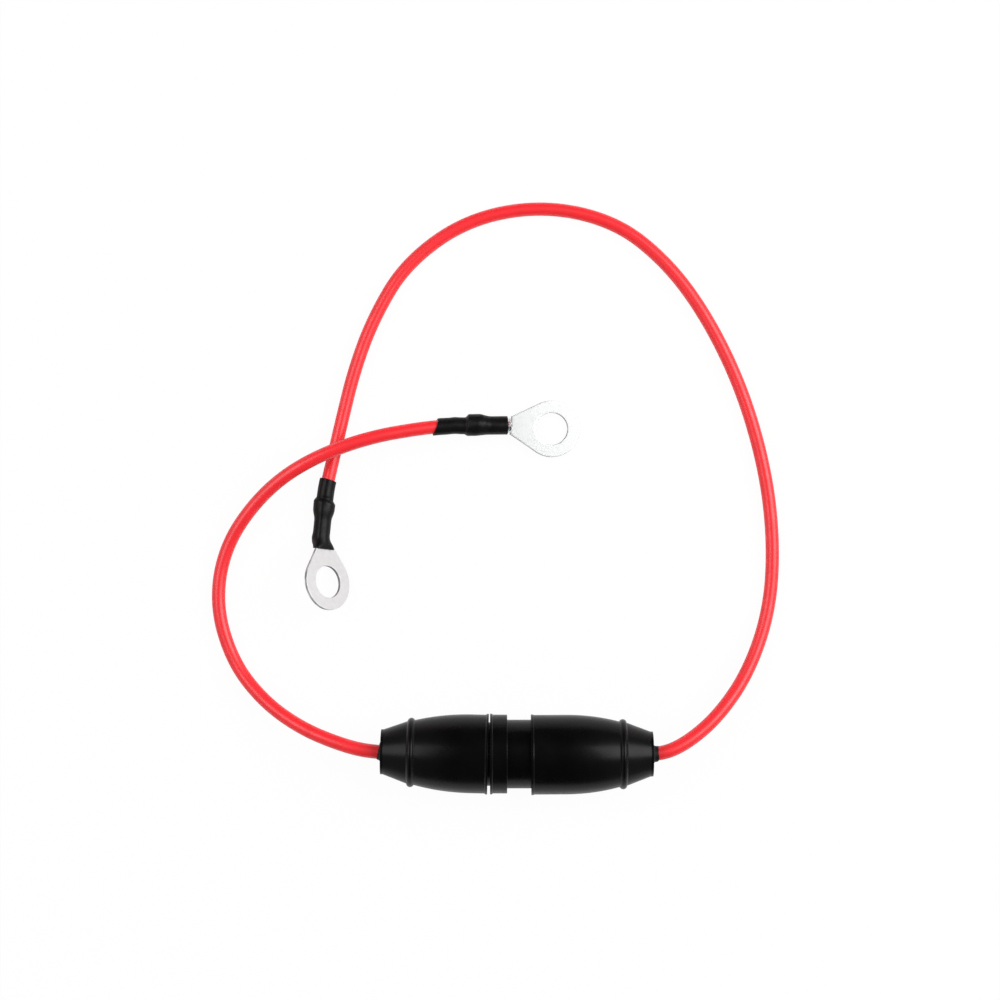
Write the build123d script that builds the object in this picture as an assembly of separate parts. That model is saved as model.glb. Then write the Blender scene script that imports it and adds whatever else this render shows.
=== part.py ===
from build123d import *
import math
import os

# Fused wire lead: an in-line fuse holder with a ring terminal on each of its two wires.
# Millimetres. The holder lies on the floor along X, the origin is on the floor under its middle,
# and both wires curl round on the side of +Y. Left is -X and right is +X.

# Fuse
fuse_length = 40.0
fuse_cap_diameter = 6.35
fuse_cap_length = 6.5
fuse_cap_wall = 0.2
fuse_cap_end = 0.4
fuse_glass_wall = 0.5
fuse_glass_clearance = 0.02
fuse_wire_diameter = 0.3
fuse_bead_diameter = 1.2

# Contacts
cup_clearance = 0.375
cup_wall = 0.45
cup_depth = 3.5
cup_floor = 0.8
left_contact_gap = 0.1
tail_radius = 1.6
tail_length = 3.2
tail_solid = 0.6
spring_wire_diameter = 0.6
spring_mean_radius = 2.9
spring_turns = 4.0
spring_end_gap = 0.02

# Centre sleeve, worked out from the contacts outwards
cup_room = 1.8
sleeve_tube_wall = 1.4
spigot_draft = 0.28
neck_step = 0.59
collar_left = -6.39
collar_length = 3.97
neck_length = 5.85
left_spigot_length = 11.6
right_spigot_length = 13.4
guide_clearance = 0.22
guide_wall = 1.0
guide_cup_gap = 1.1
web_thickness = 1.0
web_count = 4
web_overlap = 0.2
disc_thickness = 1.5

# Shells, pushed over the ends of the centre sleeve
holder_length = 65.0
push_fit_clearance = 0.17
shell_wall = 1.63
lip_height = 0.32
lip_length = 0.6
lip_slope_length = 0.35
edge_break = 0.25
crown_drop = 1.51
shell_bore_clearance = 0.6
shell_shoulder_length = 2.0
pocket_clearance = 0.6
end_wall = 5.0
exit_clearance = 0.05

# Nose of each shell, measured inwards from its end
nose_wall = 3.27
nose_straight = 0.6
bead_outer_distance = 6.1
bead_width = 2.5
bead_height = 0.75
bead_step = 0.7

# Left shell, not quite home and slightly askew on the sleeve; the right one is home
slit = 0.66
left_straight = 4.1
right_straight = 8.3
left_cock = 1.3
left_cock_pivot = -8.5

# Wire
wire_diameter = 3.0
insulation_start = 27.0
strand_diameter = 0.66
strand_pitch = 0.6
strand_clearance = 0.02
arc_share = 0.45

# Wire sleeves at the exits
wire_sleeve_wall = 0.35
wire_sleeve_inside = 4.0
left_wire_sleeve_outside = 0.95
right_wire_sleeve_outside = 1.2
left_wire_sleeve_slant = 14.0
wire_sleeve_foot = 0.5
wire_sleeve_foot_length = 0.45

# Ring terminals, bent from one sheet
sheet_thickness = 0.8
stud_hole_diameter = 7.8
ring_width = 2.9
neck_to_ring = 9.6
neck_width = 4.4
neck_tuck = 1.8
terminal_barrel_length = 4.9
terminal_mouth_length = 1.1
terminal_seam = 0.25
insulation_to_barrel = 3.5
strand_showing = 0.8
left_tongue_skew = -5.3
left_tongue_bend = 0.0
left_terminal_normal = (0.124, 0.0, 0.992)
right_tongue_skew = -13.5
right_tongue_bend = -8.0
right_terminal_normal = (-0.69, 0.04, -0.722)

# Heat-shrink sleeves, as distances back from the front of the terminal's barrel
shrink_wall = 0.38
shrink_bulge_radius = 2.6
shrink_slope = 1.2
left_bulge = (6.7, 9.6)
left_shrink_length = 18.0
left_shrink_slant = -22.0
right_bulge = (6.4, 8.2)
right_shrink_length = 14.1
right_shrink_slant = 4.0
flare_back = 0.6
flare_front = 2.6
flare_width = 6.7
flare_thickness = 2.0
flare_corner = 0.9

# Routes of the two wires, chosen by hand, from inside the holder to the bared end
left_route = [
    (-27.0, 0.42, 9.6), (-34.2, 0.583, 9.6), (-42.0, 2.3, 9.0), (-52.0, 6.2, 6.6),
    (-61.0, 12.6, 3.9), (-68.3, 22.0, 1.5), (-72.7, 35.5, 1.5), (-70.8, 49.3, 1.9),
    (-62.7, 61.4, 4.6), (-51.8, 69.5, 8.1), (-37.0, 75.5, 8.4), (-21.2, 78.05, 6.25),
    (-10.65, 78.35, 4.95),
]
right_route = [
    (27.0, 0.0, 9.6), (33.4, 0.0, 9.6), (40.2, 2.3, 8.9), (48.4, 8.9, 6.8),
    (55.9, 19.4, 3.9), (61.1, 34.0, 1.6), (62.1, 50.3, 1.5), (60.1, 68.0, 1.5),
    (54.8, 87.6, 1.5), (46.3, 105.0, 1.5), (36.6, 118.3, 1.5), (23.9, 128.3, 1.5),
    (6.1, 132.0, 1.5), (-12.2, 128.5, 1.5), (-26.9, 117.8, 1.5), (-34.8, 104.5, 1.5),
    (-39.2, 92.0, 1.5), (-42.3, 79.4, 1.6), (-45.3, 67.3, 3.1), (-46.35, 60.0, 3.5),
]

# Sizes that follow from the ones above
half_length = holder_length / 2
half_fuse = fuse_length / 2
fuse_cap_radius = fuse_cap_diameter / 2
wire_radius = wire_diameter / 2
strand_bundle_radius = strand_pitch + strand_diameter / 2
cup_inner_radius = fuse_cap_radius + cup_clearance
cup_outer_radius = cup_inner_radius + cup_wall
cup_back = half_fuse + cup_floor
left_cup_floor = half_fuse + left_contact_gap
left_cup_back = left_cup_floor + cup_floor
sleeve_bore_radius = cup_outer_radius + cup_room
spigot_tip_radius = sleeve_bore_radius + sleeve_tube_wall
spigot_radius = spigot_tip_radius + spigot_draft
neck_radius = spigot_radius + neck_step
shell_bore_radius = spigot_radius + push_fit_clearance
barrel_radius = shell_bore_radius + shell_wall
barrel_end_radius = barrel_radius - crown_drop
cone_base_radius = barrel_end_radius - bead_step
lip_radius = barrel_radius + lip_height
axis_height = lip_radius
pocket_radius = cup_outer_radius + pocket_clearance
pocket_end = half_length - end_wall
wire_sleeve_radius = wire_radius + wire_sleeve_wall
exit_radius = wire_sleeve_radius + exit_clearance
nose_radius = exit_radius + nose_wall
guide_inner_radius = fuse_cap_radius + guide_clearance
guide_outer_radius = guide_inner_radius + guide_wall
collar_right = collar_left + collar_length
neck_right = collar_right + neck_length
spigot_left = collar_left - left_spigot_length
spigot_right = neck_right + right_spigot_length
left_rim = collar_left - slit
terminal_bore_radius = strand_bundle_radius + strand_clearance
terminal_barrel_radius = terminal_bore_radius + sheet_thickness
barrel_front = insulation_to_barrel + terminal_barrel_length
barrel_mouth = barrel_front + terminal_mouth_length
tongue_height = sheet_thickness / 2 - terminal_barrel_radius
stud_hole_radius = stud_hole_diameter / 2
ring_radius = stud_hole_radius + ring_width
shrink_wire_radius = wire_radius + shrink_wall
shrink_barrel_radius = terminal_barrel_radius + shrink_wall


def across(x, z=0):
    """The plane across the X axis at x, facing +X, with its own origin at height z."""
    return Plane(origin=(x, 0, z), x_dir=(0, 1, 0), z_dir=(1, 0, 0))


def turned(outline):
    """A solid turned about X from a closed outline whose height is the radius."""
    return revolve(make_face(outline), axis=Axis.X)


def on_axis(solid):
    """Lift a solid that was made about the X axis to the height of the holder's axis."""
    return Pos(0, 0, axis_height) * solid


def mirrored_to_left(solid):
    """The left-hand twin of a solid that was made for the right."""
    return mirror(solid, about=Plane.YZ)


def with_left_cock(solid):
    """Turn a piece of the left half with its shell, which stands slightly askew."""
    pivot = Pos(left_cock_pivot, 0, 0)
    return pivot * Rot(0, 0, -left_cock) * pivot.inverse() * solid


def shell(rim, spigot_end, straight):
    """A shell with its nose to +X: lip, straight barrel, crowned taper, bead and cone."""
    bead_right = half_length - bead_outer_distance
    bead_left = bead_right - bead_width
    arc_start = rim + straight
    arc_run = bead_left - arc_start
    arc_drop = barrel_radius - barrel_end_radius
    arc_radius = (arc_run**2 + arc_drop**2) / (2 * arc_drop)
    arc_middle = (
        arc_start + arc_run / 2,
        barrel_radius - arc_radius + math.sqrt(arc_radius**2 - arc_run**2 / 4),
    )
    bead_middle = (
        (bead_left + bead_right) / 2,
        (barrel_end_radius + cone_base_radius) / 2 + bead_height,
    )
    bore_end = spigot_end + shell_bore_clearance
    crown = Polyline(
        (rim, shell_bore_radius),
        (rim, lip_radius),
        (rim + lip_length, lip_radius),
        (rim + lip_length + lip_slope_length, barrel_radius),
        (arc_start, barrel_radius),
    )
    taper = ThreePointArc((arc_start, barrel_radius), arc_middle, (bead_left, barrel_end_radius))
    bead = ThreePointArc((bead_left, barrel_end_radius), bead_middle, (bead_right, cone_base_radius))
    rest = Polyline(
        (bead_right, cone_base_radius),
        (half_length - nose_straight, nose_radius),
        (half_length - edge_break, nose_radius),
        (half_length, nose_radius - edge_break),
        (half_length, exit_radius),
        (pocket_end, exit_radius),
        (pocket_end, pocket_radius),
        (bore_end + shell_shoulder_length, pocket_radius),
        (bore_end, shell_bore_radius),
        (rim, shell_bore_radius),
    )
    return on_axis(turned(crown + taper + bead + rest))


def centre_sleeve():
    """The sleeve that both shells push on to, with a cored wall and a guide tube for the fuse."""
    skin = Polyline(
        (spigot_left, sleeve_bore_radius),
        (spigot_left, spigot_tip_radius - edge_break),
        (spigot_left + edge_break, spigot_tip_radius),
        (collar_left, spigot_radius),
        (collar_left, lip_radius),
        (collar_left + lip_length, lip_radius),
        (collar_left + lip_length + lip_slope_length, barrel_radius),
        (collar_right - edge_break, barrel_radius),
        (collar_right, barrel_radius - edge_break),
        (collar_right, neck_radius),
        (neck_right, neck_radius),
        (neck_right, spigot_radius),
        (spigot_right - edge_break, spigot_tip_radius),
        (spigot_right, spigot_tip_radius - edge_break),
        (spigot_right, sleeve_bore_radius),
        (spigot_left, sleeve_bore_radius),
    )
    guide_left = cup_depth - left_cup_floor + guide_cup_gap
    guide_length = half_fuse - cup_depth - guide_cup_gap - guide_left
    guide = Circle(guide_outer_radius) - Circle(guide_inner_radius)
    web_height = sleeve_bore_radius - guide_outer_radius + 2 * web_overlap
    web_middle = (sleeve_bore_radius + guide_outer_radius) / 2
    webs = PolarLocations(web_middle, web_count) * Rectangle(web_height, web_thickness)
    disc = Circle(sleeve_bore_radius + web_overlap) - Circle(guide_inner_radius)
    core = extrude(across(guide_left) * (guide + webs), amount=guide_length)
    core += extrude(across(collar_left) * disc, amount=disc_thickness)
    return on_axis(turned(skin) + core)


def fuse_tube():
    """The glass tube of the fuse, between the closed ends of its two caps."""
    outer = fuse_cap_radius - fuse_cap_wall - fuse_glass_clearance
    end = half_fuse - fuse_cap_end
    ring = Circle(outer) - Circle(outer - fuse_glass_wall)
    return on_axis(extrude(across(-end) * ring, amount=2 * end))


def fuse_cap():
    """The right-hand end cap of the fuse, a drawn cup with its floor outwards."""
    inner = fuse_cap_radius - fuse_cap_wall
    outline = Polyline(
        (half_fuse - fuse_cap_length, inner),
        (half_fuse - fuse_cap_length, fuse_cap_radius),
        (half_fuse - edge_break, fuse_cap_radius),
        (half_fuse, fuse_cap_radius - edge_break),
        (half_fuse, 0),
        (half_fuse - fuse_cap_end, 0),
        (half_fuse - fuse_cap_end, inner),
        (half_fuse - fuse_cap_length, inner),
    )
    return on_axis(turned(outline))


def fuse_element():
    """The fusible wire from cap to cap, with the bead of solder at its middle."""
    end = half_fuse - fuse_cap_end
    thin = fuse_wire_diameter / 2
    bead = fuse_bead_diameter / 2
    outline = Polyline((-end, 0), (-end, thin), (-bead, thin))
    outline += ThreePointArc((-bead, thin), (0, bead), (bead, thin))
    outline += Polyline((bead, thin), (end, thin), (end, 0), (-end, 0))
    return on_axis(turned(outline))


def contact_cup(floor):
    """A right-hand contact: a cup over the fuse's cap with a soldering tail behind it."""
    back = floor + cup_floor
    outline = Polyline(
        (floor - cup_depth, cup_inner_radius),
        (floor - cup_depth, cup_outer_radius),
        (back, cup_outer_radius),
        (back, tail_radius),
        (back + tail_length, tail_radius),
        (back + tail_length, strand_bundle_radius + strand_clearance),
        (back + tail_solid, strand_bundle_radius + strand_clearance),
        (back + tail_solid, 0),
        (floor, 0),
        (floor, cup_inner_radius),
        (floor - cup_depth, cup_inner_radius),
    )
    return on_axis(turned(outline))


def contact_spring(back):
    """A right-hand spring between the back of the contact cup and the shell's end wall."""
    wire = spring_wire_diameter / 2
    first = back + wire + spring_end_gap
    last = pocket_end - wire - spring_end_gap
    coil = Helix(
        pitch=(last - first) / spring_turns,
        height=last - first,
        radius=spring_mean_radius,
        center=(first, 0, 0),
        direction=(1, 0, 0),
    )
    section = Plane(origin=coil @ 0, z_dir=coil % 0) * Circle(wire)
    return on_axis(sweep(section, path=coil, is_frenet=True))


def wire_sleeve(outside):
    """A right-hand sleeve round the wire in the exit hole, with a foot on the shell's end."""
    start = half_length - wire_sleeve_inside
    outline = Polyline(
        (start, wire_radius),
        (start, wire_sleeve_radius),
        (half_length, wire_sleeve_radius),
        (half_length, wire_sleeve_radius + wire_sleeve_foot),
        (half_length + wire_sleeve_foot_length, wire_sleeve_radius),
        (half_length + outside, wire_sleeve_radius),
        (half_length + outside, wire_radius),
        (start, wire_radius),
    )
    return on_axis(turned(outline))


def slanted_wire_sleeve():
    """The left-hand sleeve, made on the right: its free end is cut at a slant."""
    tip = (half_length + left_wire_sleeve_outside, -wire_sleeve_radius, axis_height)
    cut = Plane(origin=tip, z_dir=Vector(1, 0, 0).rotate(Axis.Z, left_wire_sleeve_slant))
    return split(wire_sleeve(left_wire_sleeve_outside), bisect_by=cut, keep=Keep.BOTTOM)


def strands(length):
    """Seven strands of bared wire side by side, from the origin along +X."""
    bundle = Circle(strand_diameter / 2)
    bundle += PolarLocations(strand_pitch, 6) * Circle(strand_diameter / 2)
    return extrude(across(0) * bundle, amount=length)


def holder_strands(back):
    """The right-hand bared end inside the holder, from the contact's tail to the insulation."""
    start = back + tail_solid
    return on_axis(Pos(start, 0, 0) * strands(insulation_start - start))


def corner_radii(route):
    """Arc radius at each corner of a route, from its shorter run and half its turn."""
    radii = []
    for before, corner, after in zip(route, route[1:], route[2:]):
        arriving = Vector(*corner) - Vector(*before)
        leaving = Vector(*after) - Vector(*corner)
        half_turn = math.radians(arriving.get_angle(leaving)) / 2
        radii.append(arc_share * min(arriving.length, leaving.length) / math.tan(half_turn))
    return radii


def lead(name, route):
    """An insulated wire as a round tube along straight runs joined by tangent arcs."""
    radii = corner_radii(route)
    path = FilletPolyline(*route, radius=radii)
    tube = sweep(Plane(origin=path @ 0, z_dir=path % 0) * Circle(wire_radius), path=path)
    section = math.pi * wire_radius**2
    print(name, "corner radii", [round(radius, 1) for radius in radii])
    print(name, "length", round(path.length, 1), "volume ratio", tube.volume / (section * path.length))
    return tube


def wire_end(route, normal):
    """The frame at a wire's bared end: X on along the wire, Z from tongue to barrel."""
    along = (Vector(*route[-1]) - Vector(*route[-2])).normalized()
    across = Vector(*normal)
    upright = (across - along * across.dot(along)).normalized()
    return Plane(origin=route[-1], x_dir=along, z_dir=upright)


def tongue_turn(skew, bend):
    """The turn of the tongue about the middle of the terminal's neck, by hand-bent angles."""
    neck = Pos(barrel_mouth, 0, tongue_height)
    return neck * Rot(0, 0, skew) * Rot(0, -bend, 0)


def tongue():
    """The flat of a terminal: a ring and the taper to the neck, whose middle is the origin."""
    ring = Pos(neck_to_ring, 0) * Circle(ring_radius)
    neck_line = Line((-neck_tuck, -neck_width / 2), (-neck_tuck, neck_width / 2))
    neck_front = Line((0, -neck_width / 2), (0, neck_width / 2))
    outline = make_hull(ring.edges() + neck_line.edges() + neck_front.edges())
    flat = outline - Pos(neck_to_ring, 0) * Circle(stud_hole_radius)
    return Pos(0, 0, -sheet_thickness / 2) * extrude(flat, amount=sheet_thickness)


def ring_terminal(frame, skew, bend):
    """A ring terminal: flat tongue, and a barrel rolled from the same sheet with a seam."""
    length = barrel_mouth - insulation_to_barrel
    start = across(insulation_to_barrel)
    rolled = extrude(start * Circle(terminal_barrel_radius), amount=length)
    mouth_slope = math.atan2(terminal_mouth_length, 2 * terminal_bore_radius)
    mouth = Plane(
        origin=(barrel_mouth, 0, -terminal_bore_radius),
        z_dir=(math.cos(mouth_slope), 0, math.sin(mouth_slope)),
    )
    rolled = split(rolled, bisect_by=mouth, keep=Keep.BOTTOM)
    bore = extrude(start * Circle(terminal_bore_radius), amount=length)
    cutter = Box(
        length, terminal_seam, 2 * sheet_thickness, align=(Align.MIN, Align.CENTER, Align.CENTER)
    )
    seam = Pos(insulation_to_barrel, 0, terminal_bore_radius + sheet_thickness / 2) * cutter
    terminal = rolled + tongue_turn(skew, bend) * tongue() - bore - seam
    return frame.location * terminal


def terminal_strands(frame):
    """The bared end that runs from the insulation through the terminal's barrel."""
    return frame.location * strands(barrel_front + strand_showing)


def shrunk_tube(length, bulge, slant):
    """The outer form of a shrunk sleeve, turned about X and cut at a slant at its back."""
    start = barrel_front - length
    bulge_front = barrel_front - bulge[0]
    bulge_back = barrel_front - bulge[1]
    slope_start = bulge_back - shrink_slope
    slope_end = bulge_front + 2 * shrink_slope
    outline = Polyline((start, 0), (start, shrink_wire_radius), (slope_start, shrink_wire_radius))
    outline += Spline(
        (slope_start, shrink_wire_radius),
        (bulge_back, shrink_bulge_radius),
        (bulge_front, shrink_bulge_radius),
        (slope_end, shrink_barrel_radius),
        tangents=((1, 0), (1, 0)),
    )
    outline += Polyline(
        (slope_end, shrink_barrel_radius),
        (barrel_front, shrink_barrel_radius),
        (barrel_front, 0),
        (start, 0),
    )
    cut_origin = (start + shrink_wire_radius * math.tan(math.radians(abs(slant))), 0, 0)
    cut = Plane(origin=cut_origin, z_dir=Vector(1, 0, 0).rotate(Axis.Z, slant))
    return split(turned(outline), bisect_by=cut, keep=Keep.TOP)


def flare():
    """The front of the right-hand sleeve, flattened over the root of the terminal's tongue."""
    round_end = across(barrel_front - flare_back) * Circle(shrink_barrel_radius)
    flat = RectangleRounded(flare_width, flare_thickness, flare_corner)
    return loft([round_end, across(barrel_front + flare_front, tongue_height) * flat])


def heat_shrink(frame, form, covered):
    """A shrunk sleeve in place, less all that it has shrunk on to."""
    core = extrude(across(0) * Circle(terminal_bore_radius), amount=barrel_front + strand_showing)
    sleeve = frame.location * (form - core)
    for piece in covered:
        sleeve -= piece
    return sleeve


left_end = wire_end(left_route, left_terminal_normal)
right_end = wire_end(right_route, right_terminal_normal)

left_lead = lead("left_lead", left_route)
right_lead = lead("right_lead", right_route)
left_terminal = ring_terminal(left_end, left_tongue_skew, left_tongue_bend)
right_terminal = ring_terminal(right_end, right_tongue_skew, right_tongue_bend)
left_shrink = shrunk_tube(left_shrink_length, left_bulge, left_shrink_slant)
right_shrink = shrunk_tube(right_shrink_length, right_bulge, right_shrink_slant) + flare()

nodes = {
    "left_shell": with_left_cock(
        mirrored_to_left(shell(-left_rim, -spigot_left, left_straight))
    ),
    "right_shell": shell(neck_right, spigot_right, right_straight),
    "centre_sleeve": centre_sleeve(),
    "fuse_tube": fuse_tube(),
    "fuse_cap_left": mirrored_to_left(fuse_cap()),
    "fuse_cap_right": fuse_cap(),
    "fuse_element": fuse_element(),
    "contact_cup_left": with_left_cock(mirrored_to_left(contact_cup(left_cup_floor))),
    "contact_cup_right": contact_cup(half_fuse),
    "contact_spring_left": with_left_cock(mirrored_to_left(contact_spring(left_cup_back))),
    "contact_spring_right": contact_spring(cup_back),
    "wire_sleeve_left": with_left_cock(mirrored_to_left(slanted_wire_sleeve())),
    "wire_sleeve_right": wire_sleeve(right_wire_sleeve_outside),
    "holder_strands_left": with_left_cock(mirrored_to_left(holder_strands(left_cup_back))),
    "holder_strands_right": holder_strands(cup_back),
    "left_lead": left_lead,
    "right_lead": right_lead,
    "terminal_strands_left": terminal_strands(left_end),
    "terminal_strands_right": terminal_strands(right_end),
    "ring_terminal_left": left_terminal,
    "ring_terminal_right": right_terminal,
    "heat_shrink_left": heat_shrink(left_end, left_shrink, (left_lead, left_terminal)),
    "heat_shrink_right": heat_shrink(right_end, right_shrink, (right_lead, right_terminal)),
}

os.makedirs("parts", exist_ok=True)
for name, solid in nodes.items():
    export_step(solid, f"parts/{name}.step")
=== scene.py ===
"""Fused wire lead: an in-line fuse holder with a ring terminal on each of its two wires.

Laid out as a Blender add-on and run as a script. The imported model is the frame: every piece
made here takes its place from it, in metres, with the holder along X on the floor.
"""

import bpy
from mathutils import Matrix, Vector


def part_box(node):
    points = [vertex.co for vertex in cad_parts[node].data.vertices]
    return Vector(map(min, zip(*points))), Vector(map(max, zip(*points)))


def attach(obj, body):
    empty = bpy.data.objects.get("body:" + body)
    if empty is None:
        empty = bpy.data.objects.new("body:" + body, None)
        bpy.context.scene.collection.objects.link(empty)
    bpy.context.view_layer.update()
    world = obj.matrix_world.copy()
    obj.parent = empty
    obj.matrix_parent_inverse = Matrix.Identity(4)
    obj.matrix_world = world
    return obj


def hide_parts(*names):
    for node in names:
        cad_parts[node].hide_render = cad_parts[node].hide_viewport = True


bl_info = {
    "name": "Fused wire lead",
    "version": (1, 0, 0),
    "blender": (4, 5, 0),
    "location": "3D View > Sidebar > Wire Lead",
    "description": "Builds the mouldings, wires, terminals and studio of a fused wire lead",
    "category": "Object",
}

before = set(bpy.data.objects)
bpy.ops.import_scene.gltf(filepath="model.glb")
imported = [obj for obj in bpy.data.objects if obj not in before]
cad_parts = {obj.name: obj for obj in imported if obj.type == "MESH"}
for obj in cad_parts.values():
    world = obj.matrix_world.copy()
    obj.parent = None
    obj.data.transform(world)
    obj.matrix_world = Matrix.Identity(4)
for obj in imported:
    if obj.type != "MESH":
        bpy.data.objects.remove(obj)        # bodies, nodes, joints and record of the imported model

import math

import bmesh
import bpy
import numpy as np
from bpy.props import FloatProperty, FloatVectorProperty, PointerProperty

MM = 0.001
FULL_TURN = 2 * math.pi
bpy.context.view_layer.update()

# The centre sleeve and the right shell stand square in the frame, so their boxes give the
# holder's axis height, its half length and the places of its rims.
SLEEVE_LOW, SLEEVE_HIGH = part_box("centre_sleeve")
RIGHT_LOW, RIGHT_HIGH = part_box("right_shell")
AXIS_HEIGHT = (RIGHT_LOW[2] + RIGHT_HIGH[2]) / 2
LIP_RADIUS = (RIGHT_HIGH[2] - RIGHT_LOW[2]) / 2
HALF_LENGTH = RIGHT_HIGH[0]
RIGHT_RIM = RIGHT_LOW[0]
SPIGOT_LEFT = SLEEVE_LOW[0]
SPIGOT_RIGHT = SLEEVE_HIGH[0]

# Left face of the centre sleeve's collar along the holder, the straight end of each shell's
# nose, and the number of points round a shell or the sleeve
COLLAR_LEFT = -6.39 * MM
NOSE_STRAIGHT = 0.6 * MM
ROUND_STEPS = 176

# Both ends of a terminal's barrel, as distances past the wire's bared end
BARREL_START = 3.5 * MM
BARREL_MOUTH = 9.5 * MM

# Routes of the two wires, in metres, from inside the holder to the bared end
LEFT_ROUTE = (
    (-0.027, 0.00035, 0.0096), (-0.0342, 0.0004, 0.0096), (-0.042, 0.0022, 0.009),
    (-0.052, 0.0061, 0.0066), (-0.0612, 0.01245, 0.0039), (-0.06875, 0.0219, 0.0016),
    (-0.0727, 0.0355, 0.0016), (-0.0705, 0.0493, 0.0019), (-0.06235, 0.0611, 0.0046),
    (-0.0518, 0.06935, 0.0081), (-0.037, 0.0754, 0.0084), (-0.0212, 0.07825, 0.00625),
    (-0.0126, 0.078545, 0.00519), (-0.01065, 0.07857, 0.00495),
)
RIGHT_ROUTE = (
    (0.027, -0.0001, 0.0096), (0.0334, -0.0003, 0.0096), (0.0402, 0.00225, 0.0089),
    (0.0484, 0.0089, 0.0068), (0.0559, 0.0194, 0.0039), (0.0611, 0.034, 0.0016),
    (0.0621, 0.0503, 0.0016), (0.0601, 0.068, 0.0016), (0.05448, 0.0875, 0.0016),
    (0.04605, 0.10487, 0.0016), (0.03637, 0.11807, 0.0016), (0.0238, 0.12805, 0.0016),
    (0.0061, 0.13187, 0.0016), (-0.01215, 0.1284, 0.0016), (-0.0268, 0.1178, 0.0016),
    (-0.03465, 0.1045, 0.0016), (-0.03925, 0.092, 0.0016), (-0.04233, 0.0794, 0.0016),
    (-0.04507, 0.0673, 0.0021), (-0.04605, 0.06312, 0.00233), (-0.04636, 0.05992, 0.0025),
)
LEFT_LENGTH = 0.148
RIGHT_LENGTH = 0.275

# How much thicker a wire is at the holder than along its run
EXIT_SWELL = 1.05

# From a terminal's tongue towards the open side of its barrel
LEFT_NORMAL = (0.124, 0.0, 0.992)
RIGHT_NORMAL = (-0.7022, 0.0303, -0.7113)

# Turn in plan, its pivot along the holder and the step aside there: of the left parts, which
# were pushed on a little askew, of the centre sleeve and of the right shell
LEFT_COCK = (math.radians(-1.3), -8.5 * MM, 0.08 * MM)
SLEEVE_COCK = (0.0, 0.0, 0.08 * MM)
RIGHT_COCK = (math.radians(0.35), 20.0 * MM, 0.0)


def linear(code):
    """The linear colour, with alpha, of an sRGB hex code."""
    shares = np.array([int(code[start:start + 2], 16) for start in (1, 3, 5)]) / 255
    values = np.where(shares <= 0.04045, shares / 12.92, ((shares + 0.055) / 1.055) ** 2.4)
    return (*values.tolist(), 1.0)


def length(name, description, default):
    """A length property in metres."""
    return FloatProperty(
        name=name, description=description, default=default, min=0, unit="LENGTH", precision=5
    )


def colour(name, description, code):
    """A colour property from an sRGB hex code."""
    return FloatVectorProperty(
        name=name, description=description, default=linear(code), size=4, subtype="COLOR",
        min=0, max=1,
    )


class HolderSettings(bpy.types.PropertyGroup):
    """Sizes and colours of the shells, the centre sleeve and the wire sleeves."""

    lip_height: length("Lip height", "How far a rim's lip stands proud", 0.22 * MM)
    lip_length: length("Lip length", "Length of a rim's lip along the holder", 0.45 * MM)
    shell_wall: length("Shell wall", "Wall of a shell over its bore", 1.63 * MM)
    push_fit: length("Push fit", "Clearance between a shell's bore and the spigot", 0.17 * MM)
    spigot_draft: length("Spigot draft", "How much a spigot narrows to its tip", 0.28 * MM)
    sleeve_wall: length("Sleeve wall", "Wall of the centre sleeve at its ends", 1.4 * MM)
    neck_step: length("Neck step", "How far the neck stands over the spigots", 0.59 * MM)
    collar_length: length("Collar length", "Length of the collar", 4.07 * MM)
    left_slit: length("Left slit", "From the collar to the left shell", 0.5 * MM)
    crown_drop: length("Crown drop", "How much the crowned taper narrows", 1.51 * MM)
    bead_step: length("Bead step", "Drop of the cone behind the bead", 0.44 * MM)
    bead_distance: length("Bead distance", "From the nose's end to the bead's middle", 7.18 * MM)
    bead_radius: length("Bead radius", "Radius of the bead's round section", 0.92 * MM)
    bead_height: length("Bead height", "Height of the bead over the taper's end", 0.4 * MM)
    nose_radius: length("Nose radius", "Radius of the nose at its end", 5.36 * MM)
    exit_radius: length("Exit radius", "Radius of the hole for the wire", 1.9 * MM)
    edge_round: length("Edge rounding", "Radius of the moulded edges", 0.05 * MM)
    plastic: colour("Plastic", "Moulded black nylon", "#040405")
    dust: colour("Dust", "Lint and dust on the mouldings", "#747476")
    rubber: colour("Rubber", "Black tube at the wire exits", "#0b0b0c")


class LeadSettings(bpy.types.PropertyGroup):
    """Sizes and colours of the two wires and their strands."""

    diameter: length("Wire diameter", "Diameter over the insulation", 3.22 * MM)
    strand_diameter: length("Strand diameter", "Diameter of one strand", 0.62 * MM)
    insulation: colour("Insulation", "Extruded red PVC", "#ff252f")
    copper: colour("Copper", "Bare drawn copper", "#c8744a")


class TerminalSettings(bpy.types.PropertyGroup):
    """Sizes and colours of the ring terminals."""

    sheet: length("Sheet", "Thickness of the sheet", 0.8 * MM)
    hole_radius: length("Stud hole radius", "Radius of the hole for the stud", 3.9 * MM)
    ring_radius: length("Ring radius", "Outer radius of the ring", 6.8 * MM)
    neck_width: length("Neck width", "Width of the tongue at the barrel", 4.4 * MM)
    neck_to_ring: length("Neck to ring", "From the neck to the ring's middle", 9.6 * MM)
    bore_radius: length("Barrel bore", "Inner radius of the rolled barrel", 0.95 * MM)
    tin: colour("Tin", "Matt tin plating", "#e5e6e6")


class ShrinkSettings(bpy.types.PropertyGroup):
    """Sizes and colour of the heat-shrink sleeves."""

    wall: length("Wall", "Wall of the shrunk sleeve", 0.43 * MM)
    bulge_radius: length("Bulge radius", "Radius over the end of the insulation", 2.63 * MM)
    sleeve: colour("Sleeve", "Shrunk black polyolefin", "#0a0a0b")


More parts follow.
